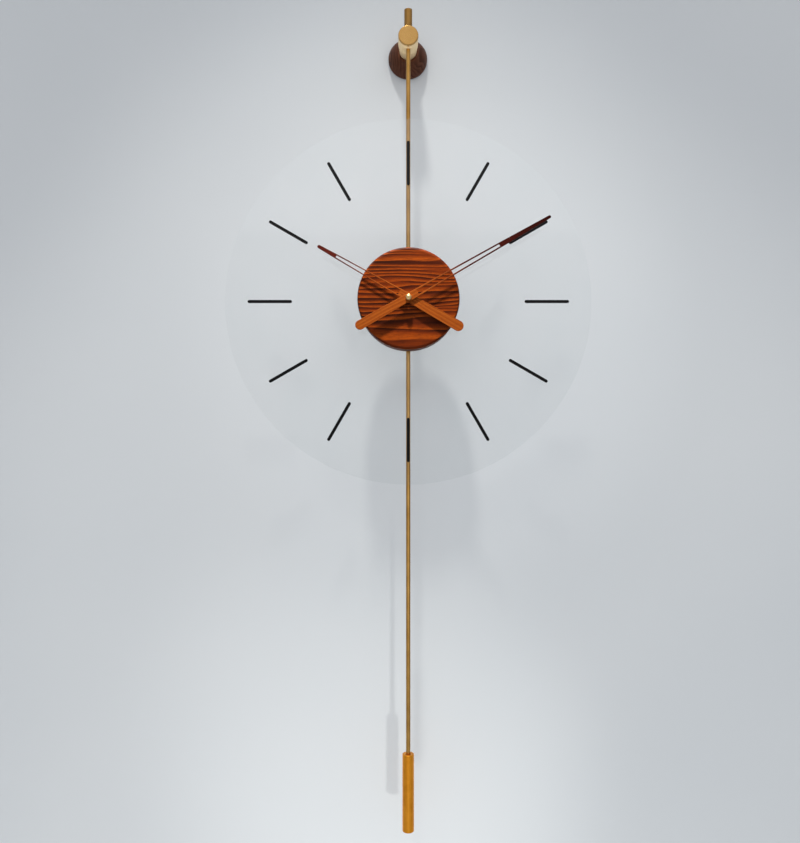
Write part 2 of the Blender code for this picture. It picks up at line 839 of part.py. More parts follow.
def build_motor(axis):
    """The circuit board, and the coil on its core beside the stator plate."""
    board = rounded_square(-15.5 * MM, DIAL_Z + 21.2 * MM, 19 * MM, 8.8 * MM, 1.0 * MM, 4)
    attach(plate("circuit_board", [board], layer(4.5, 5.5), MATERIAL["circuit_green"]), axis)

    coil_z, coil_depth = DIAL_Z + 22.0 * MM, 9.2
    left, right, flange = -20.6 * MM, -3.4 * MM, 0.9 * MM
    bore, winding, rim = 1.75 * MM, 2.9 * MM, 3.3 * MM
    profile = [
        (bore, right),
        (rim, right),
        (rim, right - flange),
        (winding, right - flange),
        (winding, left + flange),
        (rim, left + flange),
        (rim, left),
        (bore, left),
    ]
    place = world(0, depth(coil_depth), coil_z)
    attach(turned("drive_coil", profile, "RIGHT", place, SMALL, MATERIAL["copper_wire"]), axis)
    core_z = (coil_z - 1.5 * MM, coil_z + 1.5 * MM)
    core = box(
        "coil_core", (-24.4 * MM, -0.2 * MM), layer(8.7, 9.7), core_z, PARTS, MATERIAL["silicon_steel"]
    )
    attach(core, axis)

    # An upside-down U: a foot under the coil joins its far end to the plate round the rotor.
    left, arm, gap_end, right = -25.2, -21.2, -3.0, 9.4
    low, foot, plate_low, high = 13.6, 16.2, 12.8, 23.6
    corners = (
        (left, low),
        (gap_end, low),
        (gap_end, plate_low),
        (right, plate_low),
        (right, high),
        (gap_end, high),
        (gap_end, foot),
        (arm, foot),
        (arm, high),
        (left, high),
    )
    outline = [(x * MM, DIAL_Z + z * MM) for x, z in corners]
    x, z = arbor_places()["rotor"]
    hole = circle(x, DIAL_Z + z, 3.1 * MM, SMALL)
    attach(plate("stator_plate", [outline, hole], layer(7.4, 8.4), MATERIAL["silicon_steel"]), axis)


# ---------------------------------------------------------------- gear train


def arbor_places():
    third = step_from(CENTRE, THIRD_STEP)
    second = step_from(third, SECOND_STEP)
    intermediate = step_from(second, INTERMEDIATE_STEP)
    rotor = step_from(intermediate, ROTOR_STEP)
    return {
        "centre": CENTRE,
        "motion": MOTION,
        "third": third,
        "second": second,
        "intermediate": intermediate,
        "rotor": rotor,
    }


def gear_outline(at, towards, teeth, module, is_wheel):
    """A wheel has a tooth, and a pinion a gap, on the line to its mate's centre."""
    pitch_radius = teeth * module / 2
    tip, root = pitch_radius + ADDENDUM * module, pitch_radius - DEDENDUM * module
    tooth, taper = (WHEEL_TOOTH, WHEEL_TAPER) if is_wheel else (PINION_TOOTH, PINION_TAPER)
    half = tooth * math.pi / teeth
    first = math.atan2(towards[1] - at[1], towards[0] - at[0])
    if not is_wheel:
        first += math.pi / teeth
    corners = ((-half * (1 + taper), root), (-half * (1 - taper), tip))
    corners += ((half * (1 - taper), tip), (half * (1 + taper), root))
    outline = []
    for k in range(teeth):
        middle = first + 2 * math.pi * k / teeth
        for turn, radius in corners:
            x = at[0] + radius * math.cos(middle + turn)
            z = DIAL_Z + at[1] + radius * math.sin(middle + turn)
            outline.append((x, z))
    return outline


def arbor(name, at, radius, out, collection, segments=TINY):
    x, z = at[0], DIAL_Z + at[1]
    return cylinder(name, radius, world(x, out[0], z), world(x, out[1], z), segments, collection)


def geared(name, at, gears, arbor_radius, arbor_out, material, segments=TINY):
    """Toothed discs on one arbor, joined to one solid. gears are (towards, teeth, module, is_wheel, out)."""
    towards, teeth, module, is_wheel, out = gears[0]
    made = plate(name, [gear_outline(at, towards, teeth, module, is_wheel)], out, MATERIAL[material])
    boolean(made, as_cutter(arbor(name + "_arbor", at, arbor_radius, arbor_out, CUTTERS, segments)), "UNION")
    for towards, teeth, module, is_wheel, out in gears[1:]:
        outline = gear_outline(at, towards, teeth, module, is_wheel)
        boolean(made, as_cutter(plate(name + "_pinion", [outline], out, None, CUTTERS)), "UNION")
    return made


def build_train(axes):
    at = arbor_places()
    centre, motion, third = at["centre"], at["motion"], at["third"]
    second, intermediate, rotor = at["second"], at["intermediate"], at["rotor"]

    centre_gears = (
        (third, 60, 0.34 * MM, True, layer(7.7, 8.9)),
        (motion, 12, 0.50 * MM, False, layer(5.0, 6.6)),
    )
    tip = CAP_NUT_OUT[0] + 2.9 * MM
    minute_arbor = geared(
        "minute_arbor", centre, centre_gears, MINUTE_ARBOR, (depth(9.6), tip), "gear_brass", SMALL
    )
    attach(minute_arbor, axes["minute"])

    motion_gears = (
        (centre, 36, 0.50 * MM, True, layer(5.1, 6.5)),
        (centre, 10, 0.48 * MM, False, layer(2.2, 3.8)),
    )
    knob_tip = depth(20.0)
    motion_out = (knob_tip, depth(1.9))
    attach(geared("motion_wheel", motion, motion_gears, MM, motion_out, "white_acetal"), axes["motion"])
    bore, knob_front, knob_back = MM + GAP, depth(17.2), depth(22.5)
    profile = [
        (0, knob_tip - GAP),
        (bore, knob_tip - GAP),
        (bore, knob_front),
        (4.5 * MM, knob_front),
        (4.5 * MM, knob_back),
        (0, knob_back),
    ]
    place = world(motion[0], 0, DIAL_Z + motion[1])
    attach(turned("setting_knob", profile, "OUT", place, SMALL, MATERIAL["black_abs"]), axes["motion"])

    bore, outside = HOUR_TUBE
    tube_out = (depth(3.7), HOUR_OUT[1] + 0.4 * MM)
    hour_gears = ((motion, 40, 0.48 * MM, True, layer(2.3, 3.7)),)
    below = (tube_out[0] - 0.6 * MM, tube_out[1])
    hour_wheel = geared("hour_wheel", centre, hour_gears, outside, below, "white_acetal", SMALL)
    drill_out = (below[0] - MM, below[1] + MM)
    boolean(hour_wheel, as_cutter(arbor("tube_bore", centre, bore, drill_out, CUTTERS, SMALL)))
    attach(hour_wheel, axes["hour"])

    smaller = (
        ("third_wheel", "third", 0.8 * MM, (7.2, 11.5)),
        ("second_wheel", "second", 0.6 * MM, (9.2, 13.0)),
        ("intermediate_wheel", "intermediate", 0.6 * MM, (10.6, 14.7)),
    )
    gears = {
        "third": (
            (second, 64, 0.26 * MM, True, layer(10.1, 11.1)),
            (centre, 8, 0.34 * MM, False, layer(7.6, 9.0)),
        ),
        "second": (
            (intermediate, 40, 0.28 * MM, True, layer(11.9, 12.8)),
            (third, 8, 0.26 * MM, False, layer(10.0, 11.2)),
        ),
        "intermediate": (
            (rotor, 48, 0.25 * MM, True, layer(13.6, 14.5)),
            (second, 8, 0.28 * MM, False, layer(11.8, 12.9)),
        ),
    }
    for name, key, radius, span in smaller:
        attach(geared(name, at[key], gears[key], radius, layer(*span), "white_acetal"), axes[key])

    rotor_gears = ((intermediate, 8, 0.25 * MM, False, layer(13.5, 14.6)),)
    made = geared("motor_rotor", rotor, rotor_gears, 0.5 * MM, layer(5.8, 14.8), "white_acetal")
    magnet = arbor("rotor_magnet", rotor, 2.5 * MM, layer(6.4, 9.4), CUTTERS, SMALL)
    boolean(made, as_cutter(magnet), "UNION")
    attach(made, axes["rotor"])


# ---------------------------------------------------------------- hands


def half_width(shape, along):
    """The hand's half width at a distance from the pivot, straight between the stated ones."""
    for (start, first), (end, last) in zip(shape, shape[1:]):
        if start <= along <= end:
            return first + (last - first) * (along - start) / (end - start)
    return shape[-1][1]


def hand_outline(shape):
    """(along, across) round the hand in millimetres: a round tail, two straight-sided edges, a round tip."""
    (tail, tail_half), (tip, tip_half) = shape[0], shape[-1]
    middle = shape[1:-1]
    upper = [(along, half) for along, half in middle]
    lower = [(along, -half) for along, half in reversed(middle)]
    return arc(tail, 0, tail_half, 270, 90, 13) + upper + arc(tip, 0, tip_half, 90, -90, 7) + lower


def slot_outline(shape, slot, rail):
    start, end = slot
    stations = [start] + [along for along, _ in shape if start < along < end] + [end]
    upper = [(along, half_width(shape, along) - rail) for along in stations]
    return upper + [(along, -across) for along, across in reversed(upper)]


def hand(name, shape, slot, rail, angle, out, bore, axis):
    turn = math.radians(angle)

    def placed(outline):
        return [
            (
                (along * math.sin(turn) + across * math.cos(turn)) * MM,
                DIAL_Z + (along * math.cos(turn) - across * math.sin(turn)) * MM,
            )
            for along, across in outline
        ]

    opening = placed(slot_outline(shape, slot, rail))
    outlines = [placed(hand_outline(shape)), opening, circle(0, DIAL_Z, bore, SMALL)]
    attach(plate(name, outlines, out, MATERIAL["walnut_hand"]), axis)


def build_hands(axes):
    hour_bore, minute_bore = HOUR_TUBE[1] + GAP, MINUTE_ARBOR + GAP
    hour = HOUR_SHAPE, HOUR_SLOT, HOUR_RAIL, HOUR_ANGLE, HOUR_OUT
    minute = MINUTE_SHAPE, MINUTE_SLOT, MINUTE_RAIL, MINUTE_ANGLE, MINUTE_OUT
    hand("hour_hand", *hour, hour_bore, axes["hour"])
    hand("minute_hand", *minute, minute_bore, axes["minute"])
    back, front = CAP_NUT_OUT
    shoulder = front - 2.4 * MM
    dome = [
        (CAP_NUT_RADIUS * math.sin(t), shoulder + (front - shoulder) * math.cos(t))
        for t in (math.radians(18 * i) for i in range(6))
    ]
    ceiling = back + 3.2 * MM
    profile = [(0, ceiling), (minute_bore, ceiling), (minute_bore, back), (CAP_NUT_RADIUS, back)]
    nut = turned(
        "hand_cap_nut",
        [(0, front), *dome[1:], *reversed(profile)],
        "OUT",
        world(0, 0, DIAL_Z),
        SMALL,
        MATERIAL["polished_brass"],
    )
    attach(nut, axes["minute"])


clear_scene()
PARTS = new_collection("pendulum_wall_clock")
CUTTERS = new_collection("cutters")
MATERIAL = {name: make_material(name) for name in MATERIALS}

swing_axis = add_axis("swing_axis", 0, ROD_OUT, PIVOT_Z)
wheel_axes = {
    name: add_axis(name + "_axis", place[0], HUB_OUT[0], DIAL_Z + place[1], swing_axis)
    for name, place in arbor_places().items()
}
wheel_axes["minute"] = wheel_axes["centre"]
wheel_axes["hour"] = add_axis("hour_axis", 0, HUB_OUT[0], DIAL_Z, swing_axis)

build_bracket()
build_head(swing_axis)
build_rod(swing_axis)
build_ring(swing_axis)
build_dial(swing_axis)
build_hub(swing_axis)
build_case(swing_axis)
build_battery(swing_axis)
build_motor(swing_axis)
build_train(wheel_axes)
build_hands(wheel_axes)
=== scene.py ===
"""Looks of the pendulum wall clock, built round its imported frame.

Metres, +Z up. The wall is the plane y = 0, the clock hangs on its -Y side, and "out" is the distance
from the wall, which is -y. Shapes are worked out as whole arrays. Each piece's place comes from the
frame's boxes, and the lamps and the camera have places of their own.
"""

import bmesh
import bpy
import numpy as np
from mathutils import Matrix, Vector
from mathutils.geometry import tessellate_polygon


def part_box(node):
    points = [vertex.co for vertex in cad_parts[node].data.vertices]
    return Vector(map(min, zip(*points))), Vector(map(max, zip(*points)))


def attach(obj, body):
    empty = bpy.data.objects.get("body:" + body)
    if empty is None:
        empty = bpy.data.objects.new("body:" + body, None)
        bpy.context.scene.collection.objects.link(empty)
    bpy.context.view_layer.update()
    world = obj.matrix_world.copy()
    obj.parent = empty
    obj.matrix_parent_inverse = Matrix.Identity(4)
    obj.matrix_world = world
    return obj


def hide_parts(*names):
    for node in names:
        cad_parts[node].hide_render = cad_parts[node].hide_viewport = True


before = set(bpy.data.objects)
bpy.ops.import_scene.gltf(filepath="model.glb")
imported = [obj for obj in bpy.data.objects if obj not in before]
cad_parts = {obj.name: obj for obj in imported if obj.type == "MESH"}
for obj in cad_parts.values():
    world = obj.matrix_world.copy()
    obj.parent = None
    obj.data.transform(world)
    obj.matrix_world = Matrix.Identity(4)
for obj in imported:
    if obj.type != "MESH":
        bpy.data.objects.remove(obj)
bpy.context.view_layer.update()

MM = 0.001
UP = np.array([0.0, 0.0, 1.0])
OUT = np.array([0.0, -1.0, 0.0])
RIGHT = np.array([1.0, 0.0, 0.0])
TURN = 2 * np.pi
EDGE_STEPS = 5  # points on each quarter circle of a plate's edge
AIR = 0.3 * MM  # clearance between pieces that don't move against each other
NECK_HOLE = 3.5 * MM  # the movement's neck passes through hub, washer and nut
SCREW_HOLE = 2.3 * MM  # the screws' holes in the ring and the dial
ARBOR_HOLE = 1.6 * MM  # the minute arbor's hole in its hand and in the cap nut
ROD_SOCKET = 3.3 * MM  # the rod's hole in the collar and in the weight

# ---------------------------------------------------------------- places from the frame


def corners_of(node):
    """Lowest and highest corner of a CAD node."""
    low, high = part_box(node)
    return np.array(low), np.array(high)


def centre_of(node):
    """Middle of a CAD node's box."""
    low, high = corners_of(node)
    return (low + high) / 2


def out_of(node):
    """Distances from the wall of a CAD node's back and front."""
    low, high = corners_of(node)
    return -high[1], -low[1]


def height_of(node):
    """Lowest and highest z of a CAD node."""
    low, high = corners_of(node)
    return low[2], high[2]


def radius_of(node):
    """Radius of a round CAD node, from its width."""
    low, high = corners_of(node)
    return (high[0] - low[0]) / 2


ON_WALL = np.zeros(3)  # the bracket's axis runs straight out of the wall here
DIAL = centre_of("dial_plate") * (1, 0, 1)  # the dial's axis, on the wall
ROD = centre_of("upper_rod") * (1, 1, 0)  # the rod's axis, at pivot height

# ---------------------------------------------------------------- meshes from arrays


def as_object(name, points, faces, flat=()):
    """A mesh object from an array of points and a list of face arrays. Faces in flat aren't smoothed.

    Points that no face uses are dropped, and all faces are turned if the enclosed volume, which is the
    sum of the corner determinants of a fan of triangles, comes out negative.
    """
    groups = [np.asarray(group) for group in (*faces, *flat) if len(group)]
    volume = sum(
        np.linalg.det(points[group[:, [0, k, k + 1]]]).sum()
        for group in groups
        for k in range(1, group.shape[1] - 1)
    )
    if volume < 0:
        groups = [group[:, ::-1] for group in groups]
    used, index = np.unique(np.concatenate([group.ravel() for group in groups]), return_inverse=True)
    ends = np.cumsum([group.size for group in groups])[:-1]
    renamed = [part.reshape(group.shape) for part, group in zip(np.split(index.ravel(), ends), groups)]
    mesh = bpy.data.meshes.new(name)
    mesh.from_pydata(points[used].tolist(), [], [face for group in renamed for face in group.tolist()])
    smooth = np.ones(len(mesh.polygons), bool)
    smooth[len(smooth) - sum(len(group) for group in flat) :] = False
    mesh.polygons.foreach_set("use_smooth", smooth)
    mesh.update()
    made = bpy.data.objects.new(name, mesh)
    bpy.context.scene.collection.objects.link(made)
    return made


def eased(corners, radius, closed=False, steps=7, hold=0.35):
    """A profile with its corners rounded.

    Each corner becomes an arc that touches both sides: its centre is the corner plus the bisector
    times radius / sin(h), where h is half the angle between the sides. A point a little further along
    each side keeps the flat beside the arc flat. An open profile keeps its two ends as they are.
    """
    points = np.array(corners, float)
    radii = np.broadcast_to(np.asarray(radius, float), len(points))[:, None]
    before, after = np.roll(points, 1, 0) - points, np.roll(points, -1, 0) - points
    before /= np.linalg.norm(before, axis=1, keepdims=True)
    after /= np.linalg.norm(after, axis=1, keepdims=True)
    half = np.arccos(np.clip((before * after).sum(1, keepdims=True), -1, 1)) / 2
    reach = radii / np.tan(half)
    middle = before + after
    middle /= np.linalg.norm(middle, axis=1, keepdims=True)
    centre = points + middle * radii / np.sin(half)
    first = (points + before * reach - centre)[:, None]
    last = (points + after * reach - centre)[:, None]
    sweep = (np.pi - 2 * half)[:, None]
    share = np.linspace(0, 1, steps)[None, :, None]
    swung = np.sin((1 - share) * sweep) * first + np.sin(share * sweep) * last
    arcs = centre[:, None] + swung / np.sin(sweep)
    lead = (points + before * reach * (1 + hold))[:, None]
    trail = (points + after * reach * (1 + hold))[:, None]
    arcs = np.concatenate([lead, arcs, trail], 1)
    if closed:
        return arcs.reshape(-1, 2)
    return np.concatenate([points[:1], arcs[1:-1].reshape(-1, 2), points[-1:]])


def lathe(name, profile, place, along, steps=96, closed=False, carve=None):
    """A surface of revolution.

    Point (i, j) = place + height_i * along + radius_i * (cos a_j * side + sin a_j * other), where the
    profile gives (radius, height) and a runs once round. carve(radius, height, angle) may change both
    arrays. A closed profile joins its last point to its first; an open one starts and ends on the axis.
    """
    angle = TURN * np.arange(steps)[None] / steps
    radius, height = (profile[:, k : k + 1] + 0 * angle for k in (0, 1))
    if carve:
        radius, height = carve(radius, height, angle + 0 * radius)
    side = RIGHT if abs(along[0]) < 0.5 else UP
    other = np.cross(along, side)
    grid = (
        place
        + height[..., None] * along
        + (radius * np.cos(angle))[..., None] * side
        + (radius * np.sin(angle))[..., None] * other
    )
    rows = len(profile)
    index = np.arange(rows * steps).reshape(rows, steps)
    across = np.roll(index, -1, 1)
    if closed:
        below, below_across = np.roll(index, -1, 0), np.roll(across, -1, 0)
        quads = np.stack([index, across, below_across, below], -1).reshape(-1, 4)
        return as_object(name, grid.reshape(-1, 3), [quads])
    quads = np.stack([index[1:-2], across[1:-2], across[2:-1], index[2:-1]], -1).reshape(-1, 4)
    first = np.stack([np.full(steps, index[0, 0]), across[1], index[1]], -1)
    last = np.stack([np.full(steps, index[-1, 0]), index[-2], across[-2]], -1)
    return as_object(name, grid.reshape(-1, 3), [quads, first, last])


def signed_area(loop):
    """Half the sum of each point's cross product with the next, positive anticlockwise."""
    following = np.roll(loop, -1, 0)
    return (loop[:, 0] * following[:, 1] - following[:, 0] * loop[:, 1]).sum() / 2


def slab(name, outlines, out, ease):
    """A flat plate that faces the room, with eased edges.

    outlines are loops of (x, z), the first outer and the others holes. The edge's section, two quarter
    circles of radius ease with a straight between them, is carried round each loop along its mitre, and
    the flat back and front are closed with triangles.
    """
    back, front = out
    quarter = np.linspace(0, np.pi / 2, EDGE_STEPS)
    inset, rise = ease * (1 - np.sin(quarter)), ease * (1 - np.cos(quarter))
    rear, fore = np.stack([inset, back + rise], 1), np.stack([inset, front - rise], 1)
    section = np.concatenate([rear, fore[::-1]])
    points, quads, backs, fronts = [], [], [], []
    start = 0
    for number, loop in enumerate(outlines):
        loop = np.asarray(loop, float)
        if (signed_area(loop) > 0) != (number == 0):
            loop = loop[::-1]
        edge = np.roll(loop, -1, 0) - loop
        edge /= np.linalg.norm(edge, axis=1, keepdims=True)
        normal = np.stack([edge[:, 1], -edge[:, 0]], 1)
        last = np.roll(normal, 1, 0)
        mitre = (normal + last) / (1 + (normal * last).sum(1, keepdims=True))
        flat = loop[:, None] - mitre[:, None] * section[None, :, :1]
        outs = np.broadcast_to(section[None, :, 1:], flat[..., :1].shape)
        points.append(np.concatenate([flat[..., :1], -outs, flat[..., 1:]], -1).reshape(-1, 3))
        index = start + np.arange(len(loop) * len(section)).reshape(len(loop), -1)
        across = np.roll(index, -1, 0)
        strips = np.stack([index[:, :-1], across[:, :-1], across[:, 1:], index[:, 1:]], -1)
        quads.append(strips.reshape(-1, 4))
        backs.append(index[:, 0])
        fronts.append(index[:, -1])
        start += index.size
    points = np.concatenate(points)
    caps = []
    for rims, turned in ((fronts, False), (backs, True)):
        loops = [[Vector((x, z, 0)) for x, _, z in points[rim]] for rim in rims]
        rim = np.concatenate(rims)
        triangles = np.array(tessellate_polygon(loops))
        corner = points[rim[triangles]][..., [0, 2]]
        one, two = corner[:, 1] - corner[:, 0], corner[:, 2] - corner[:, 0]
        clockwise = one[:, 0] * two[:, 1] - one[:, 1] * two[:, 0] < 0
        triangles[clockwise] = triangles[clockwise][:, ::-1]
        caps.append(rim[triangles[:, ::-1] if turned else triangles])
    return as_object(name, points, [np.concatenate(quads)], caps)


def circle(centre, radius, steps):
    """Points of (x, z) round a circle: centre + radius * (cos a, sin a)."""
    angle = TURN * np.arange(steps) / steps
    return np.stack([centre[0] + radius * np.cos(angle), centre[2] + radius * np.sin(angle)], 1)


def arc(middle, radius, start, end, steps):
    """Points on a circle from start to end, in turns, both included."""
    angle = TURN * np.linspace(start, end, steps)
    return np.stack([middle[0] + radius * np.cos(angle), middle[1] + radius * np.sin(angle)], 1)


def softened(name, node, width):
    """A moulded piece: the CAD node's mesh with points merged, flats joined and edges rounded."""
    same_point, same_flat = 0.002 * MM, np.radians(1)
    creased, rounded = np.radians(35), np.radians(40)
    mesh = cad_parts[node].data.copy()
    mesh.name = name
    made = bpy.data.objects.new(name, mesh)
    bpy.context.scene.collection.objects.link(made)
    shape = bmesh.new()
    shape.from_mesh(mesh)
    bmesh.ops.remove_doubles(shape, verts=shape.verts, dist=same_point)
    bmesh.ops.dissolve_limit(shape, angle_limit=same_flat, verts=shape.verts, edges=shape.edges)
    shape.to_mesh(mesh)
    shape.free()
    mesh.materials.clear()
    mesh.shade_smooth()
    mesh.set_sharp_from_angle(angle=creased)
    bevel = made.modifiers.new("moulded_edge", "BEVEL")
    bevel.width = width
    bevel.segments = 2
    bevel.limit_method = "ANGLE"
    bevel.angle_limit = rounded
    bevel.harden_normals = True
    return made


# ---------------------------------------------------------------- materials


def linear(colour):
    """A hex sRGB colour as linear RGBA."""
    part = np.array([int(colour[k : k + 2], 16) / 255 for k in (1, 3, 5)])
    rgb = np.where(part <= 0.04045, part / 12.92, ((part + 0.055) / 1.055) ** 2.4)
    return (*rgb.tolist(), 1.0)


ONE, TWO, MIXED = 6, 7, 2  # a colour mix's two colours and its result


def feed(node, links):
    """Sets a node's inputs, each to a value or from the socket that drives it."""
    for key, value in links.items():
        if isinstance(value, bpy.types.NodeSocket):
            node.id_data.links.new(value, node.inputs[key])
        else:
            node.inputs[key].default_value = value
    return node


def add(tree, kind, links=None, **settings):
    """Adds a node with its settings and feeds its inputs."""
    made = tree.nodes.new("ShaderNode" + kind)
    for key, value in settings.items():
        setattr(made, key, value)
    return feed(made, links or {})


def finish_named(name, **shader_values):
    """A new material with uniform values set on its shader. Returns it, its tree and its shader."""
    made = bpy.data.materials.new(name)
    made.use_nodes = True
    shader = made.node_tree.nodes["Principled BSDF"]
    feed(shader, {key.replace("_", " "): value for key, value in shader_values.items()})
    return made, made.node_tree, shader


def mixed_hex(one, two, share):
    """A hex colour that lies share of the way from one to two."""
    pairs = ((int(one[k : k + 2], 16), int(two[k : k + 2], 16)) for k in (1, 3, 5))
    return "#" + "".join(f"{round(a + (b - a) * share):02X}" for a, b in pairs)


def lay_layers(tree, colour, layers):
    """Lays tones over a colour one by one. Each layer is (share, tone), and share 1 covers fully."""
    for share, tone in layers:
        colours = {"Factor": share, ONE: colour, TWO: tone}
        colour = add(tree, "Mix", colours, data_type="RGBA").outputs[MIXED]
    return colour


def lay_skin(tree, shader, tones, share, rough, texture, height, depth, strength):
    """Two tones mixed by share, roughness that follows texture, and a bump depth metres deep."""
    gloss = {"Value": texture, "To Min": rough[0], "To Max": rough[1]}
    bump = {"Height": height, "Distance": depth, "Strength": strength}
    skin = {
        "Base Color": lay_layers(tree, linear(tones[0]), [(share, linear(tones[1]))]),
        "Roughness": add(tree, "MapRange", gloss).outputs[0],
        "Normal": add(tree, "Bump", bump).outputs[0],
    }
    feed(shader, skin)


def walnut(name, tones, centre, turn=0.0, ring=4.2 * MM, figure=1.0, tip=None, rim_wear_and_shade=None):
    """Oiled walnut: growth rings cut along the grain, dark late wood, long fibres and open pores.

    tones are late wood, mid and light. The grain runs along X, turned by turn about the OUT axis.
    ring is the mean spacing of the growth rings, and figure says how strongly their dark streaks show.
    tip is a hand's darker tip tone, painted shade on the blade's outer part past the lit hub, and the
    distances between which it comes in. The last argument is the radius past which the edge is painted
    darker: painted shade that dulls the rounded rim's highlight, and a little handling wear.
    """
    made, tree, shader = finish_named(name, Roughness=0.45, Specular_IOR_Level=0.07)
    coords = add(tree, "TexCoord").outputs["Object"]
    # The board's own frame: X along the grain, Z across it, centred on the piece.
    to_centre = (-centre[0], 0.0, -centre[2])
    moved = add(tree, "Mapping", {"Vector": coords, "Location": to_centre}).outputs[0]
    board = add(tree, "Mapping", {"Vector": moved, "Rotation": (0.0, turn, 0.0)}).outputs[0]
    # Slow growth and fast growth by turns: the rings are pushed together and apart in long bands.
    drift_place = add(tree, "Mapping", {"Vector": board, "Scale": (0.15, 1, 1)}).outputs[0]
    bands = {"Vector": drift_place, "Scale": 38.0, "Detail": 2.0}
    drift = add(tree, "TexNoise", bands).outputs["Color"]
    push = {0: drift, 1: (0, 0, 24.0 * MM), 2: board}
    pushed = add(tree, "VectorMath", push, operation="MULTIPLY_ADD").outputs[0]
    # The rings' heart lies below and behind, and is tipped so that they open into long arches.
    heart = {"Location": (0.0, 0.03, 0.062), "Rotation": (0.0, 0.045, 0.05), "Scale": (0.16, 1, 1)}
    log = add(tree, "Mapping", {"Vector": pushed, **heart}).outputs[0]
    waver = {"Distortion": 4.0, "Detail": 2.5, "Detail Scale": 0.30, "Detail Roughness": 0.55}
    growth = {"wave_type": "RINGS", "rings_direction": "X", "wave_profile": "SAW"}
    ring_look = {"Vector": log, "Scale": 0.314 / ring, **waver}
    rings = add(tree, "TexWave", ring_look, **growth).outputs["Fac"]
    stretch = add(tree, "Mapping", {"Vector": board, "Scale": (0.10, 1, 1)}).outputs[0]
    fibre = add(tree, "TexNoise", {"Vector": stretch, "Scale": 900.0, "Detail": 4.0}).outputs["Fac"]
    cloud = add(tree, "TexNoise", {"Vector": stretch, "Scale": 75.0, "Detail": 2.0}).outputs["Fac"]
    pore_place = add(tree, "Mapping", {"Vector": board, "Scale": (0.07, 1, 1)}).outputs[0]
    pricks = {"Vector": pore_place, "Scale": 2600.0, "Detail": 1.0}
    prick = add(tree, "TexNoise", pricks).outputs["Fac"]

    # Where each mark shows: its share grows from 0 to most as the pattern goes from start to end.
    marks = {
        "pale_ring": (cloud, 0.46, 0.30, 1.0),
        "dark_ring": (cloud, 0.52, 0.66, 1.0),
        "fibre": (fibre, 0.35, 1.1, 1.0),
        "pore_depth": (prick, 0.62, 0.70, 1.0),
        "pore_tone": (prick, 0.62, 0.70, 0.5),
    }
    # Painted shade: a hand darkens towards its tip, past the lit hub.
    if tip:
        tip_shade_tone, tip_start, tip_end = tip
        along = add(tree, "SeparateXYZ", {"Vector": board}).outputs["X"]
        marks["tip"] = (along, tip_start, tip_end, 1.0)
    # Painted shade on the rim: the edge is darkened past this radius to dull its highlight, with a
    # little handling wear.
    if rim_wear_and_shade:
        ring_place = add(tree, "Mapping", {"Vector": moved, "Scale": (1, 0, 1)}).outputs[0]
        from_axis = add(tree, "VectorMath", {0: ring_place}, operation="LENGTH").outputs["Value"]
        marks["rim_wear_and_shade"] = (from_axis, rim_wear_and_shade - 1.5 * MM, rim_wear_and_shade, 0.45)
    share = {}
    for mark, (pattern, low, high, most) in marks.items():
        limits = {"Value": pattern, "From Min": low, "From Max": high, "To Max": most}
        share[mark] = add(tree, "MapRange", limits).outputs[0]
    dark = add(tree, "Math", {0: share["dark_ring"], 1: rings}, operation="MULTIPLY").outputs[0]
    streak = add(tree, "MapRange", {"Value": dark, "To Max": figure}).outputs[0]

    late, mid, light = tones
    wood = add(tree, "ValToRGB", {"Fac": rings})
    stops = ((0.0, light), (0.40, mid), (0.72, late), (0.90, late), (1.0, light))
    for _ in stops[2:]:
        wood.color_ramp.elements.new(0.5)
    for element, (place, tone) in zip(wood.color_ramp.elements, stops):
        element.position = place
        element.color = linear(tone)
    # Some rings stay pale and some turn almost black, in patches drawn out along the grain.
    layers = [
        (share["pale_ring"], linear(mid)),
        (streak, linear(mixed_hex(late, "#000000", 0.6))),
        (share["fibre"], linear(late)),
        (share["pore_tone"], linear("#1C0C06")),
    ]
    # The painted shade towards a hand's tip.
    if tip:
        layers.append((share["tip"], linear(tip_shade_tone)))
    # The rim's painted shade, with a little handling wear.
    if rim_wear_and_shade:
        layers.append((share["rim_wear_and_shade"], linear(late)))
    gloss = {"Value": fibre, "To Min": 0.38, "To Max": 0.56}
    sunk = add(tree, "Math", {0: fibre, 1: share["pore_depth"]}, operation="SUBTRACT").outputs[0]
    grooves = {"Height": sunk, "Distance": 0.05 * MM, "Strength": 0.6}
    skin = {
        "Base Color": lay_layers(tree, wood.outputs["Color"], layers),
        "Roughness": add(tree, "MapRange", gloss).outputs[0],
        "Normal": add(tree, "Bump", grooves).outputs[0],
    }
    feed(shader, skin)
    return made


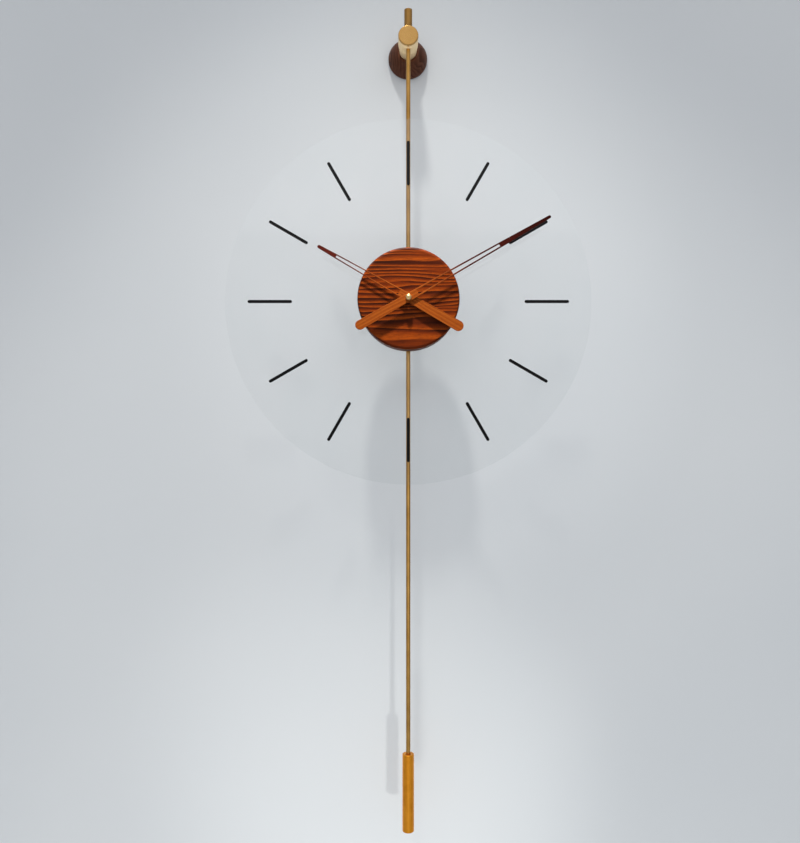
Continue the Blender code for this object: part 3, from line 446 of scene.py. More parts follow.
def brass(name, tones, rough, lines, centre=None):
    """Brass under clear lacquer, with the fine lines of its last cut or draw and a faint tarnish.

    lines are the line counts per metre across each axis. With a centre, they are rings round the OUT
    axis instead, as a facing tool leaves, and lines[0] counts them.
    """
    made, tree, shader = finish_named(name, Metallic=1.0, Roughness=sum(rough) / 2)
    coords = add(tree, "TexCoord").outputs["Object"]
    if centre is None:
        place = add(tree, "Mapping", {"Vector": coords, "Scale": lines}).outputs[0]
        cut = add(tree, "TexNoise", {"Vector": place, "Scale": 1.0, "Detail": 3.0}).outputs["Fac"]
    else:
        shift = (-centre[0], 0.0, -centre[2])
        flattened = {"Vector": coords, "Location": shift, "Scale": (1, 0, 1)}
        flat = add(tree, "Mapping", flattened).outputs[0]
        away = add(tree, "VectorMath", {0: flat}, operation="LENGTH").outputs["Value"]
        tooling = {"W": away, "Scale": lines[0], "Detail": 3.0}
        cut = add(tree, "TexNoise", tooling, noise_dimensions="1D").outputs["Fac"]
    tarnish = add(tree, "TexNoise", {"Vector": coords, "Scale": 55.0, "Detail": 4.0}).outputs["Fac"]
    dulled = add(tree, "Math", {0: cut, 1: tarnish}, operation="MULTIPLY").outputs[0]
    patch = add(tree, "MapRange", {"Value": dulled, "From Min": 0.12, "From Max": 0.42}).outputs[0]
    lay_skin(tree, shader, tones, patch, rough, cut, cut, 0.012 * MM, 0.5)
    return made


def metal(name, tones, rough, grain):
    """A plated, sintered or rolled metal: two tones in grains of that size, with like roughness."""
    made, tree, shader = finish_named(name, Metallic=1.0, Roughness=sum(rough) / 2)
    coords = add(tree, "TexCoord").outputs["Object"]
    spangle = add(tree, "TexVoronoi", {"Vector": coords, "Scale": 1 / grain}).outputs["Distance"]
    clouding = {"Vector": coords, "Scale": 0.3 / grain, "Detail": 2.0}
    haze = add(tree, "TexNoise", clouding).outputs["Fac"]
    mottle = add(tree, "Math", {0: spangle, 1: haze}, operation="MULTIPLY").outputs[0]
    spread = add(tree, "MapRange", {"Value": mottle, "From Min": 0.05, "From Max": 0.45}).outputs[0]
    lay_skin(tree, shader, tones, spread, rough, spread, mottle, 0.02 * MM, 0.4)
    return made


def moulded(name, tones, rough, grain, depth, **shader_values):
    """A moulded plastic or rubber: a spark-eroded or flow texture of that grain, faintly mottled."""
    made, tree, shader = finish_named(name, Roughness=sum(rough) / 2, **shader_values)
    coords = add(tree, "TexCoord").outputs["Object"]
    skin = add(tree, "TexNoise", {"Vector": coords, "Scale": 1 / grain, "Detail": 2.0}).outputs["Fac"]
    flow = add(tree, "TexNoise", {"Vector": coords, "Scale": 90.0, "Detail": 3.0}).outputs["Fac"]
    lay_skin(tree, shader, tones, flow, rough, skin, skin, depth, 0.5)
    return made


def cast_acrylic(name):
    """Clear cast acrylic: nearly all seen through, a thin mirror that grows at a glancing angle.

    Light on its way to the wall passes as if the sheet weren't there, since the real one loses next
    to none.
    """
    made, tree, shader = finish_named(name)
    tree.nodes.remove(shader)
    coords = add(tree, "TexCoord").outputs["Object"]
    ripple = add(tree, "TexNoise", {"Vector": coords, "Scale": 22.0, "Detail": 1.0}).outputs["Fac"]
    waves = {"Height": ripple, "Distance": 0.15 * MM, "Strength": 0.35}
    bump = add(tree, "Bump", waves).outputs["Normal"]
    tint = lay_layers(tree, linear("#FDFEFE"), [(ripple, linear("#FFFFFF"))])
    clear = add(tree, "BsdfTransparent", {"Color": tint}).outputs[0]
    polish = {"Color": (1, 1, 1, 1), "Roughness": 0.05, "Normal": bump}
    gloss = add(tree, "BsdfGlossy", polish).outputs[0]
    # The face that is seen mirrors for both faces of the sheet. The far one, from inside, doesn't.
    fresnel = add(tree, "Fresnel", {"IOR": 1.49, "Normal": bump}).outputs[0]
    inside = add(tree, "NewGeometry").outputs["Backfacing"]
    both_faces = add(tree, "MapRange", {"Value": inside, "To Min": 1.85, "To Max": 0.0}).outputs[0]
    mirror = add(tree, "Math", {0: fresnel, 1: both_faces}, operation="MULTIPLY").outputs[0]
    mixed = add(tree, "MixShader", {0: mirror, 1: clear, 2: gloss}).outputs[0]
    ray = add(tree, "LightPath").outputs
    light_rays = {0: ray["Is Shadow Ray"], 1: ray["Is Diffuse Ray"]}
    passing = add(tree, "Math", light_rays, operation="MAXIMUM").outputs[0]
    open_air = add(tree, "BsdfTransparent").outputs[0]
    seen = add(tree, "MixShader", {0: passing, 1: mixed, 2: open_air}).outputs[0]
    feed(tree.nodes["Material Output"], {"Surface": seen})
    return made


def battery_wrap(name, end):
    """A plain shrink-wrapped cell: a dark sleeve, with a copper band at the end that has the nub."""
    made, tree, shader = finish_named(name, Roughness=0.3, Coat_Weight=0.4, Coat_Roughness=0.15)
    coords = add(tree, "TexCoord").outputs["Object"]
    x = add(tree, "SeparateXYZ", {"Vector": coords}).outputs["X"]
    haze = add(tree, "TexNoise", {"Vector": coords, "Scale": 300.0, "Detail": 3.0}).outputs["Fac"]
    share = {}
    for mark, (pattern, low, high) in {
        "haze": (haze, 0.3, 0.7),
        "band": (x, end - 13.0 * MM, end - 12.7 * MM),
        "bare": (x, end - 0.6 * MM, end - 0.4 * MM),
    }.items():
        limits = {"Value": pattern, "From Min": low, "From Max": high}
        share[mark] = add(tree, "MapRange", limits).outputs[0]
    tones = {"haze": "#36393E", "band": "#A8642F", "bare": "#C9CCCE"}
    layers = [(share[mark], linear(tone)) for mark, tone in tones.items()]
    gloss = {"Value": haze, "To Min": 0.22, "To Max": 0.38}
    skin = {
        "Base Color": lay_layers(tree, linear("#2B2D31"), layers),
        "Metallic": share["bare"],
        "Roughness": add(tree, "MapRange", gloss).outputs[0],
    }
    feed(shader, skin)
    return made


HAND_TURN = {"minute_hand": np.radians(60.3), "hour_hand": np.radians(-60.4)}  # clockwise from 12
HUB_TONES = ("#381002", "#6C2803", "#964209")
HAND_TONES = ("#7A3709", "#854010", "#914B14")
ROSETTE_TONES = ("#4A2A1C", "#5E3828", "#6C4533")
BLADE_RING, BLADE_FIGURE = 3.0 * MM, 0.15  # the thin blades show finer and fainter rings
FINISH = {
    # Sawn and turned walnut, oiled: warm orange-brown, near-level dark rings, and a rim darkened by
    # painted shade and a little wear.
    "hub": walnut("oiled_walnut_hub", HUB_TONES, DIAL, rim_wear_and_shade=radius_of("hub_drum")),
    # A darker cut of the same wood, so that the rosette reads nearly black-brown.
    "rosette": walnut("dark_walnut_rosette", ROSETTE_TONES, ON_WALL, np.pi / 2, figure=0.3),
    # Thin quarter-sawn blades, paler in the middle, with painted shade darkening them towards their
    # tips.
    **{
        f"{hand}_hand": walnut(
            f"walnut_blade_{hand}",
            HAND_TONES,
            DIAL,
            np.pi / 2 - HAND_TURN[f"{hand}_hand"],
            BLADE_RING,
            BLADE_FIGURE,
            tip,
        )
        for hand, tip in (("minute", ("#3C0E06", 0.02, 0.09)), ("hour", ("#4A150C", 0.03, 0.09)))
    },
    # Drawn rod: fine lines down its length, which blur its highlight sideways.
    "rod": brass("drawn_brass_rod", ("#BC914F", "#9C7135"), (0.22, 0.36), (1100.0, 1100.0, 14.0)),
    "collar": brass("drawn_brass_collar", ("#A88048", "#84622F"), (0.24, 0.38), (900.0, 900.0, 14.0)),
    # Faced on a lathe: rings round the knob's centre.
    "knob": brass("faced_brass_knob", ("#CBA163", "#A98145"), (0.20, 0.32), (1500.0, 0, 0), ON_WALL),
    "post": brass("satin_brass_post", ("#FBE4BA", "#EFD09A"), (0.40, 0.50), (25.0, 1600.0, 25.0)),
    # Gilt weight: more yellow, with hoop lines of its turning.
    "weight": brass("gilt_brass_weight", ("#EFA031", "#CF811A"), (0.34, 0.46), (700.0, 700.0, 10.0)),
    "nut": brass("turned_brass_nut", ("#F0D49C", "#D9B470"), (0.20, 0.30), (1800.0, 0, 0), DIAL),
    "gear_brass": brass("stamped_brass", ("#D8B25A", "#B8913E"), (0.26, 0.38), (700.0, 700.0, 700.0)),
    # Zinc plate: cool grey with faint spangle.
    "zinc_steel": metal("zinc_plated_steel", ("#C2C6C8", "#9A9EA1"), (0.28, 0.44), 1.2 * MM),
    "silicon_steel": metal("rolled_silicon_steel", ("#A4A8AB", "#82868A"), (0.34, 0.5), 0.8 * MM),
    "bronze": metal("sintered_bronze", ("#B98D4C", "#8C6630"), (0.38, 0.55), 0.25 * MM),
    "copper_wire": metal("enamelled_copper", ("#C9703A", "#9C4C20"), (0.25, 0.4), 0.12 * MM),
    # Laser-cut black acrylic: deep gloss with a faint orange peel.
    "black_acrylic": moulded(
        "black_cast_acrylic",
        ("#050505", "#0D0D0E"),
        (0.16, 0.26),
        3.0 * MM,
        0.02 * MM,
        Specular_IOR_Level=0.25,
    ),
    # Spark-eroded ABS: even, dull, fine-grained.
    "black_abs": moulded(
        "spark_eroded_abs", ("#131416", "#1D1F22"), (0.48, 0.62), 0.35 * MM, 0.03 * MM
    ),
    # Acetal straight from the mould: milky, slightly waxy.
    "white_acetal": moulded(
        "natural_acetal", ("#E6E3D8", "#F2F0E8"), (0.38, 0.5), 0.6 * MM, 0.01 * MM
    ),
    # Green lacquer over copper and glass fibre: smooth with a dull shine.
    "circuit_green": moulded(
        "solder_mask_board", ("#174A2A", "#226338"), (0.3, 0.45), 0.5 * MM, 0.02 * MM
    ),
    # Cut sheet rubber: almost no shine.
    "nitrile_rubber": moulded(
        "nitrile_rubber", ("#161616", "#222222"), (0.7, 0.85), 0.3 * MM, 0.03 * MM
    ),
    "clear_acrylic": cast_acrylic("clear_cast_acrylic"),
    "battery": battery_wrap("wrapped_cell", corners_of("battery")[1][0]),
}

# ---------------------------------------------------------------- placing pieces


def place(piece, finish, slot, body, *nodes):
    """Gives a piece its finish and its body, and says which CAD nodes it stands for. slot is not used.
    """
    piece.data.materials.append(FINISH[finish])
    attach(piece, body)
    if nodes:
        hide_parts(*nodes)
    return piece


# ---------------------------------------------------------------- wall bracket


def make_bracket():
    """Rosette, wall plate and boss, and post: profiles turned about the bracket's axis."""
    back, front = out_of("wall_rosette")
    radius = radius_of("wall_rosette")
    plate_radius, plate_front = radius_of("wall_plate"), 2.5 * MM
    boss_radius, boss_front = 7.0 * MM, out_of("wall_plate")[1]
    bore = 3.3 * MM  # the stud's hole in plate, rosette and post
    rim, neck = 5.0 * MM, 14.8 * MM

    # The flank swells out from the neck to the rim: radius = neck + spread * (s + 0.16 sin(pi s)).
    share = np.linspace(0, 1, 33)
    flank_radius = np.minimum(neck + (radius - neck) * (share + 0.16 * np.sin(np.pi * share)), radius)
    flank = np.stack([flank_radius, front - (front - rim) * share], 1)
    flank = flank[flank[:, 0] < radius - 0.02 * MM]
    lip = eased([(bore, front), flank[0], flank[3]], 0.8 * MM)[:-1]
    foot = eased([flank[-1], (radius, rim), (radius, back), (plate_radius + AIR, back)], 0.6 * MM)[1:]
    inside = [
        (plate_radius + AIR, plate_front + AIR),
        (boss_radius + AIR, plate_front + AIR),
        (boss_radius + AIR, boss_front + AIR),
        (bore, boss_front + AIR),
    ]
    profile = np.concatenate([lip, flank[4:], foot, inside])
    rosette = lathe("turned_rosette", profile, ON_WALL, OUT, 160, closed=True)
    place(rosette, "rosette", "walnut_dark", "wall_bracket", "wall_rosette")

    hole_out, hole_radius = 17.0 * MM, 2.25 * MM
    outlines = [circle(ON_WALL, plate_radius, 128)]
    outlines += [circle((side * hole_out, 0, 0), hole_radius, 32) for side in (-1, 1)]
    disc = slab("pressed_wall_plate", outlines, (back, plate_front), 0.25 * MM)
    place(disc, "zinc_steel", "zinc_steel", "wall_bracket", "wall_plate")
    ring = [(bore, plate_front), (boss_radius, plate_front)]
    ring += [(boss_radius, boss_front), (bore, boss_front)]
    boss = lathe("tapped_boss", eased(ring, 0.15 * MM, True), ON_WALL, OUT, 64, closed=True)
    place(boss, "zinc_steel", "zinc_steel", "wall_bracket")

    back, front = out_of("bracket_post")
    outer, narrow = radius_of("bracket_post"), 11.8 * MM
    web_front = 41.0 * MM
    outline = [(0, back), (narrow, back), (outer, front)]
    outline += [(bore, front), (bore, web_front), (0, web_front)]
    radii = [0.1 * MM, 0.7 * MM, 0.5 * MM, 0.4 * MM, 0.2 * MM, 0.1 * MM]
    post = lathe("tapered_post", eased(outline, radii), ON_WALL, OUT, 128)
    place(post, "post", "brushed_brass", "wall_bracket", "bracket_post")


# ---------------------------------------------------------------- head, rod and weight


def make_head():
    """Head and knob: stepped profiles with eased corners, turned about the bracket's axis."""
    back, front = out_of("swing_head")
    radius = radius_of("swing_head")
    cavity, recess, floor = 7.5 * MM, 9.3 * MM, back + 1.8 * MM
    outline = [(cavity, front), (radius, front), (radius, back)]
    outline += [(recess, back), (recess, floor), (cavity, floor)]
    radii = [0.2 * MM, 0.6 * MM, 0.5 * MM, 0.3 * MM, 0.1 * MM, 0.1 * MM]
    head = lathe("turned_head", eased(outline, radii, True), ON_WALL, OUT, 128, closed=True)
    place(head, "post", "brushed_brass", "pendulum", "swing_head")

    stem_back, front = out_of("front_knob")
    back, disc_back, stem = 72.0 * MM, front - 3.0 * MM, 7.2 * MM
    outline = [(0, front), (radius, front), (radius, disc_back), (0, disc_back)]
    radii = [0.1 * MM, 1.2 * MM, 0.3 * MM, 0.1 * MM]
    disc = lathe("faced_knob_disc", eased(outline, radii), ON_WALL, OUT, 160)
    place(disc, "knob", "polished_brass", "pendulum", "front_knob")
    outline = [(0, disc_back), (radius, disc_back), (radius, back)]
    outline += [(stem, back), (stem, stem_back), (0, stem_back)]
    radii = [0.1 * MM, 0.3 * MM, 0.5 * MM, 0.2 * MM, 0.3 * MM, 0.1 * MM]
    barrel = lathe("satin_knob_barrel", eased(outline, radii), ON_WALL, OUT, 160)
    place(barrel, "post", "polished_brass", "pendulum")


def make_rod():
    """Collar, rods and weight: stepped profiles, eased and turned about the rod's axis."""
    low, high = height_of("rod_collar")
    radius, ceiling = radius_of("rod_collar"), high - 5.6 * MM
    outline = [(0, high), (radius, high), (radius, low)]
    outline += [(ROD_SOCKET, low), (ROD_SOCKET, ceiling), (0, ceiling)]
    radii = [0.1 * MM] + [0.5 * MM] * 2 + [0.2 * MM] * 3
    collar = lathe("rod_end_collar", eased(outline, radii), ROD, UP, 96)
    place(collar, "collar", "brushed_brass", "pendulum", "rod_collar")

    for node, name in (("upper_rod", "drawn_upper_rod"), ("lower_rod", "drawn_lower_rod")):
        low, high = height_of(node)
        radius = radius_of(node)
        outline = [(0, high), (radius, high), (radius, low), (0, low)]
        rod = lathe(name, eased(outline, 0.3 * MM), ROD, UP, 64)
        place(rod, "rod", "brushed_brass", "pendulum", node)

    low, high = height_of("pendulum_weight")
    radius, bottom = radius_of("pendulum_weight"), high - 20.0 * MM
    outline = [(0, bottom), (ROD_SOCKET, bottom), (ROD_SOCKET, high)]
    outline += [(radius, high), (radius, low), (0, low)]
    radii = [0.1 * MM, 0.2 * MM, 0.4 * MM, 0.8 * MM, 1.4 * MM, 0.1 * MM]
    weight = lathe("gilt_weight", eased(outline, radii), ROD, UP, 128)
    place(weight, "weight", "polished_brass", "pendulum", "pendulum_weight")


# ---------------------------------------------------------------- ring, screws, dial and bars


def cross_recess(head, depth):
    """Sinks a cross in a screw's head: depth where a point lies in an arm, less towards its end."""

    def carve(radius, height, angle):
        one, two = np.abs(radius * np.cos(angle)), np.abs(radius * np.sin(angle))
        half, reach = 0.15 * head, 0.62 * head
        arm = np.clip((half - np.minimum(one, two)) / (0.04 * head), 0, 1)
        ends = np.clip((reach - np.maximum(one, two)) / (0.35 * head), 0, 1)
        on_top = height < height.min() + 0.55 * depth
        return radius, height + depth * arm * ends * on_top

    return carve


def make_screws():
    """Four screws through ring and dial into the hub, and two that clamp the rods."""
    pan_head, clamp_head = 3.6 * MM, 3.4 * MM
    for number in range(1, 5):
        make_screw(f"hub_screw_{number}", f"pan_screw_{number}", pan_head)
    for side in ("upper", "lower"):
        make_screw(f"{side}_rod_clamp_screw", f"clamp_screw_{side}", clamp_head)


def make_screw(node, name, head):
    """A pan-head screw seen from behind. Its dome falls by rise * (1 - sqrt(1 - 0.8 r^2)) / 0.553.

    r runs from 0 in the middle to 1 at the head's edge, where 1 - sqrt(0.2) is 0.553.
    """
    back, tip = out_of(node)
    shank, seat, rise = 2.0 * MM, back + 2.4 * MM, 1.5 * MM
    share = np.linspace(0, 1, 18)
    dome = np.stack([head * share, back + rise * (1 - np.sqrt(1 - 0.8 * share**2)) / 0.553], 1)
    under = [(head, seat), (shank, seat), (shank, tip - shank), (0, tip)]
    profile, axis = np.concatenate([dome, under]), centre_of(node) * (1, 0, 1)
    screw = lathe(name, profile, axis, OUT, 72, carve=cross_recess(head, 1.1 * MM))
    place(screw, "zinc_steel", "zinc_steel", "pendulum", node)


def make_ring_and_dial():
    """Ring, dial and bars: flat outlines with eased edges.

    A bar's outline is two half circles joined by straights, upright at 12, and turned clockwise about
    the dial's axis by its hour's share of a turn.
    """
    screws = [centre_of(f"hub_screw_{number}") for number in range(1, 5)]
    clamps = [centre_of(f"{side}_rod_clamp_screw") for side in ("upper", "lower")]
    radius, opening = radius_of("back_ring"), 42.0 * MM
    outlines = [circle(DIAL, radius, 192), circle(DIAL, opening, 160)]
    outlines += [circle(at, SCREW_HOLE, 32) for at in screws + clamps]
    ring = slab("steel_back_ring", outlines, out_of("back_ring"), 0.5 * MM)
    place(ring, "zinc_steel", "zinc_steel", "pendulum", "back_ring")

    outlines = [circle(DIAL, radius_of("dial_plate"), 384), circle(DIAL, opening, 160)]
    outlines += [circle(at, SCREW_HOLE, 32) for at in screws]
    dial = slab("clear_dial", outlines, out_of("dial_plate"), 0.6 * MM)
    place(dial, "clear_acrylic", "clear_acrylic", "pendulum", "dial_plate")

    top = corners_of("hour_bar_12")
    half_width = (top[1][0] - top[0][0]) / 2
    reach = (top[1][2] - top[0][2]) / 2 - half_width
    middle = (top[0][2] + top[1][2]) / 2 - DIAL[2]
    upper_end = arc((0, reach), half_width, 0, 0.5, 17)
    lower_end = arc((0, -reach), half_width, 0.5, 1, 17)
    outline = np.concatenate([upper_end, lower_end])
    for hour in range(1, 13):
        turn = TURN * hour / 12
        across, along = outline[:, 0], outline[:, 1] + middle
        x = DIAL[0] + across * np.cos(turn) + along * np.sin(turn)
        z = DIAL[2] - across * np.sin(turn) + along * np.cos(turn)
        node = f"hour_bar_{hour:02d}"
        bar = slab(f"cut_bar_{hour:02d}", [np.stack([x, z], 1)], out_of(node), 0.25 * MM)
        place(bar, "black_acrylic", "black_acrylic", "pendulum", node)


def make_hub():
    """Drum: the profile of a deep cup, eased and turned about the dial's axis."""
    back, front = out_of("hub_drum")
    radius, cavity, ceiling = radius_of("hub_drum"), 44.0 * MM, front - 5.0 * MM
    outline = [(NECK_HOLE, front), (radius, front), (radius, back)]
    outline += [(cavity, back), (cavity, ceiling), (NECK_HOLE, ceiling)]
    radii = [0.4 * MM, 3.2 * MM, 1.0 * MM, 0.6 * MM, 1.5 * MM, 0.3 * MM]
    drum = lathe("turned_drum", eased(outline, radii, True, 9), DIAL, OUT, 256, closed=True)
    place(drum, "hub", "walnut_hub", "pendulum", "hub_drum")


# ---------------------------------------------------------------- movement


def make_movement():
    """Cases from their CAD shapes, and battery, setting knob, washer and nut turned from profiles."""
    case = softened("moulded_back_case", "movement_back_case", 0.4 * MM)
    place(case, "black_abs", "black_abs", "pendulum", "movement_back_case")
    case = softened("moulded_front_case", "movement_front_case", 0.3 * MM)
    place(case, "black_abs", "black_abs", "pendulum", "movement_front_case")

    low, high = corners_of("battery")
    radius, end, nub = (high[2] - low[2]) / 2, high[0] - 1.3 * MM, 2.75 * MM
    outline = [(0, high[0]), (nub, high[0]), (nub, end)]
    outline += [(radius, end), (radius, low[0]), (0, low[0])]
    radii = [0.1 * MM, 0.5 * MM, 0.3 * MM, 0.8 * MM, 0.6 * MM, 0.1 * MM]
    axis = centre_of("battery") * (0, 1, 1)
    cell = lathe("wrapped_battery", eased(outline, radii), axis, RIGHT, 96)
    place(cell, "battery", "battery_wrap", "pendulum", "battery")

    back, front = out_of("setting_knob")
    radius, bore, ceiling = radius_of("setting_knob"), 1.3 * MM, front - 2.5 * MM
    outline = [(0, back), (radius, back), (radius, front)]
    outline += [(bore, front), (bore, ceiling), (0, ceiling)]

    def ribs(radius_now, height, angle):
        """Grip ribs: the rim's radius falls by a share of cos^2 of the angle, 24 times round."""
        rim = np.clip((radius_now - 0.8 * radius) / (0.2 * radius), 0, 1)
        return radius_now * (1 - 0.05 * rim * np.cos(12 * angle) ** 2), height

    profile, axis = eased(outline, 0.25 * MM), centre_of("setting_knob") * (1, 0, 1)
    knob = lathe("ribbed_setting_knob", profile, axis, OUT, 192, carve=ribs)
    place(knob, "black_abs", "black_abs", "motion_group", "setting_knob")

    back, front = out_of("nut_washer")
    radius = radius_of("nut_washer")
    ring = [(NECK_HOLE, front), (radius, front), (radius, back), (NECK_HOLE, back)]
    washer = lathe("brass_washer", eased(ring, 0.12 * MM, True), DIAL, OUT, 96, closed=True)
    place(washer, "gear_brass", "gear_brass", "pendulum", "nut_washer")

    back, front = out_of("mounting_nut")
    flat = radius_of("mounting_nut") * np.cos(np.pi / 6)
    ring = [(NECK_HOLE, front), (1.3 * flat, front), (1.3 * flat, back), (NECK_HOLE, back)]

    def hexagon(radius, height, angle):
        """Six flats at flat / cos(angle from the flat's middle), with a 30 degree chamfer each side."""
        turn = np.mod(angle, TURN / 6) - TURN / 12
        depth = np.minimum(front - height, height - back)
        limit = np.minimum(flat / np.cos(turn), flat * 1.02 + depth * 1.7)
        return np.minimum(radius, limit), height

    nut = lathe("hexagon_nut", eased(ring, 0.2 * MM, True), DIAL, OUT, 180, closed=True, carve=hexagon)
    place(nut, "gear_brass", "gear_brass", "pendulum", "mounting_nut")


# ---------------------------------------------------------------- hands

# Distance from the pivot towards the tip, and half width, in millimetres.
HAND_SHAPE = {
    "minute_hand": ((-73.7, 6.3), (-40.0, 6.0), (0.0, 5.4), (68.0, 4.45), (138.0, 3.5), (213.5, 2.0)),
    "hour_hand": ((-75.5, 7.0), (-40.0, 6.4), (0.0, 5.5), (60.0, 3.9), (110.0, 3.0), (135.8, 2.25)),
}
SLOT = {"minute_hand": (14.0, 138.0), "hour_hand": (14.0, 110.0)}
RAIL = {"minute_hand": 2.0, "hour_hand": 1.6}
BORE = {"minute_hand": ARBOR_HOLE, "hour_hand": 2.7 * MM}
HAND_BODY = {"minute_hand": "minute_group", "hour_hand": "hour_group"}


def make_hand(node, name):
    """A slotted blade: its half width runs straight between stations, tail and tip are half circles."""
    stations, halves = np.array(HAND_SHAPE[node]).T
    turn = HAND_TURN[node]

    def turned(loop):
        """(along, across) in millimetres, turned clockwise from 12 about the dial's centre."""
        along, across = loop[:, 0] * MM, loop[:, 1] * MM
        x = DIAL[0] + along * np.sin(turn) + across * np.cos(turn)
        z = DIAL[2] + along * np.cos(turn) - across * np.sin(turn)
        return np.stack([x, z], 1)

    run = np.linspace(stations[0], stations[-1], 90)
    edge = np.stack([run, np.interp(run, stations, halves)], 1)
    outer = np.concatenate(
        [
            arc((stations[0], 0), halves[0], 0.25, 0.75, 29)[1:-1],
            edge * (1, -1),
            arc((stations[-1], 0), halves[-1], -0.25, 0.25, 17)[1:-1],
            edge[::-1],
        ]
    )
    run = np.linspace(*SLOT[node], 60)
    half = np.interp(run, stations, halves) - RAIL[node]
    first, last = (run[0], half[0]), (run[-1], half[-1])
    corners = np.array([first, last, (last[0], -last[1]), (first[0], -first[1])])
    slot = eased(corners, 0.6, True, 5, 0.1)
    outlines = [turned(outer), turned(slot), circle(DIAL, BORE[node], 40)]
    hand = slab(name, outlines, out_of(node), 0.35 * MM)
    place(hand, node, "walnut_hand", HAND_BODY[node], node)


def make_hands():
    """Both hands, and the cap nut that holds them: a domed profile, turned, with a knurled skirt."""
    make_hand("hour_hand", "slotted_hour_hand")
    make_hand("minute_hand", "slotted_minute_hand")

    back, front = out_of("hand_cap_nut")
    radius = radius_of("hand_cap_nut")
    ceiling, shoulder = back + 3.2 * MM, front - 2.4 * MM
    # The dome is a quarter ellipse: radius 0.9 sin(t), height from shoulder to front as cos(t).
    share = np.linspace(0, 1, 14)[:, None]
    dome_radius = 0.9 * radius * np.sin(share * np.pi / 2)
    dome = np.hstack([dome_radius, shoulder + (front - shoulder) * np.cos(share * np.pi / 2)])
    skirt = [dome[-1], (radius, shoulder - 0.1 * MM), (radius, back)]
    skirt += [(ARBOR_HOLE, back), (ARBOR_HOLE, ceiling), (0, ceiling)]

    def knurl(radius_now, height, angle):
        """Straight knurling on the skirt: 36 ridges, each a full cosine."""
        on_skirt = (radius_now > 0.97 * radius) & (height < shoulder)
        return radius_now * (1 - 0.035 * on_skirt * (0.5 + 0.5 * np.cos(36 * angle))), height

    profile = np.concatenate([dome, eased(skirt, 0.2 * MM)[1:]])
    nut = lathe("knurled_cap_nut", profile, DIAL, OUT, 288, carve=knurl)
    place(nut, "nut", "polished_brass", "minute_group", "hand_cap_nut")


# ---------------------------------------------------------------- pieces that keep their CAD shape

KEPT = {
    "post_stud": "zinc_steel",
    "pivot_bolt": "zinc_steel",
    "pivot_bush": "bronze",
    "rubber_washer": "nitrile_rubber",
    "battery_contact_plate": "zinc_steel",
    "battery_contact_spring": "zinc_steel",
    "circuit_board": "circuit_green",
    "drive_coil": "copper_wire",
    "coil_core": "silicon_steel",
    "stator_plate": "silicon_steel",
    "minute_arbor": "gear_brass",
    "hour_wheel": "white_acetal",
    "motion_wheel": "white_acetal",
    "third_wheel": "white_acetal",
    "second_wheel": "white_acetal",
    "intermediate_wheel": "white_acetal",
    "motor_rotor": "white_acetal",
}


def dress_kept_nodes():
    """Gives the pieces that keep their CAD shape their finishes."""
    for node, finish in KEPT.items():
        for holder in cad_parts[node].material_slots:
            holder.material = FINISH[finish]


# ---------------------------------------------------------------- room


def sheet_of(name, origin, one, two):
    """A flat rectangle: point (s, t) = origin + s * one + t * two."""
    corners = np.array(origin) + np.array([(0, 0), (1, 0), (1, 1), (0, 1)]) @ np.array([one, two])
    mesh = bpy.data.meshes.new(name)
    mesh.from_pydata(corners.tolist(), [], [(0, 1, 2, 3)])
    made = bpy.data.objects.new(name, mesh)
    bpy.context.scene.collection.objects.link(made)
    return made


def painted_plaster(name, seen_from_behind):
    """Matt emulsion with a faint roller texture. A wall is left open behind, so the back shows."""
    made, tree, shader = finish_named(name, Roughness=0.9, Specular_IOR_Level=0.1)
    coords = add(tree, "TexCoord").outputs["Object"]
    roller = add(tree, "TexNoise", {"Vector": coords, "Scale": 380.0, "Detail": 3.0}).outputs["Fac"]
    cloud = add(tree, "TexNoise", {"Vector": coords, "Scale": 1.6, "Detail": 2.0}).outputs["Fac"]
    patch = add(tree, "MapRange", {"Value": cloud, "From Min": 0.3, "From Max": 0.7}).outputs[0]
    nap = {"Height": roller, "Distance": 0.1 * MM, "Strength": 0.3}
    skin = {
        "Base Color": lay_layers(tree, linear("#DDE2E5"), [(patch, linear("#E4E8EA"))]),
        "Normal": add(tree, "Bump", nap).outputs[0],
    }
    feed(shader, skin)
    if seen_from_behind:
        clear = add(tree, "BsdfTransparent").outputs[0]
        behind = add(tree, "NewGeometry").outputs["Backfacing"]
        mixed = add(tree, "MixShader", {0: behind, 1: shader.outputs[0], 2: clear}).outputs[0]
        feed(tree.nodes["Material Output"], {"Surface": mixed})
    return made


def lamp(name, kind, at, towards, energy, colour="#FFFFFF", lights=(), shadows=(), **settings):
    """A lamp aimed at a point. lights, if given, are all it lights, and shadows all that block it."""
    data = bpy.data.lights.new(name, kind)
    data.energy = energy
    data.color = linear(colour)[:3]
    for key, value in settings.items():
        setattr(data, key, value)
    made = bpy.data.objects.new(name, data)
    made.location = at
    made.rotation_euler = (Vector(towards) - Vector(at)).to_track_quat("-Z", "Y").to_euler()
    made.visible_camera = False
    bpy.context.scene.collection.objects.link(made)
    for role, group in (("receiver", lights), ("blocker", shadows)):
        if group:
            chosen = bpy.data.collections.new(f"{name}_{role}s")
            for piece in group:
                chosen.objects.link(piece)
            setattr(made.light_linking, f"{role}_collection", chosen)


def pieces(*names):
    """The finished pieces of those names."""
    return [bpy.data.objects[name] for name in names]


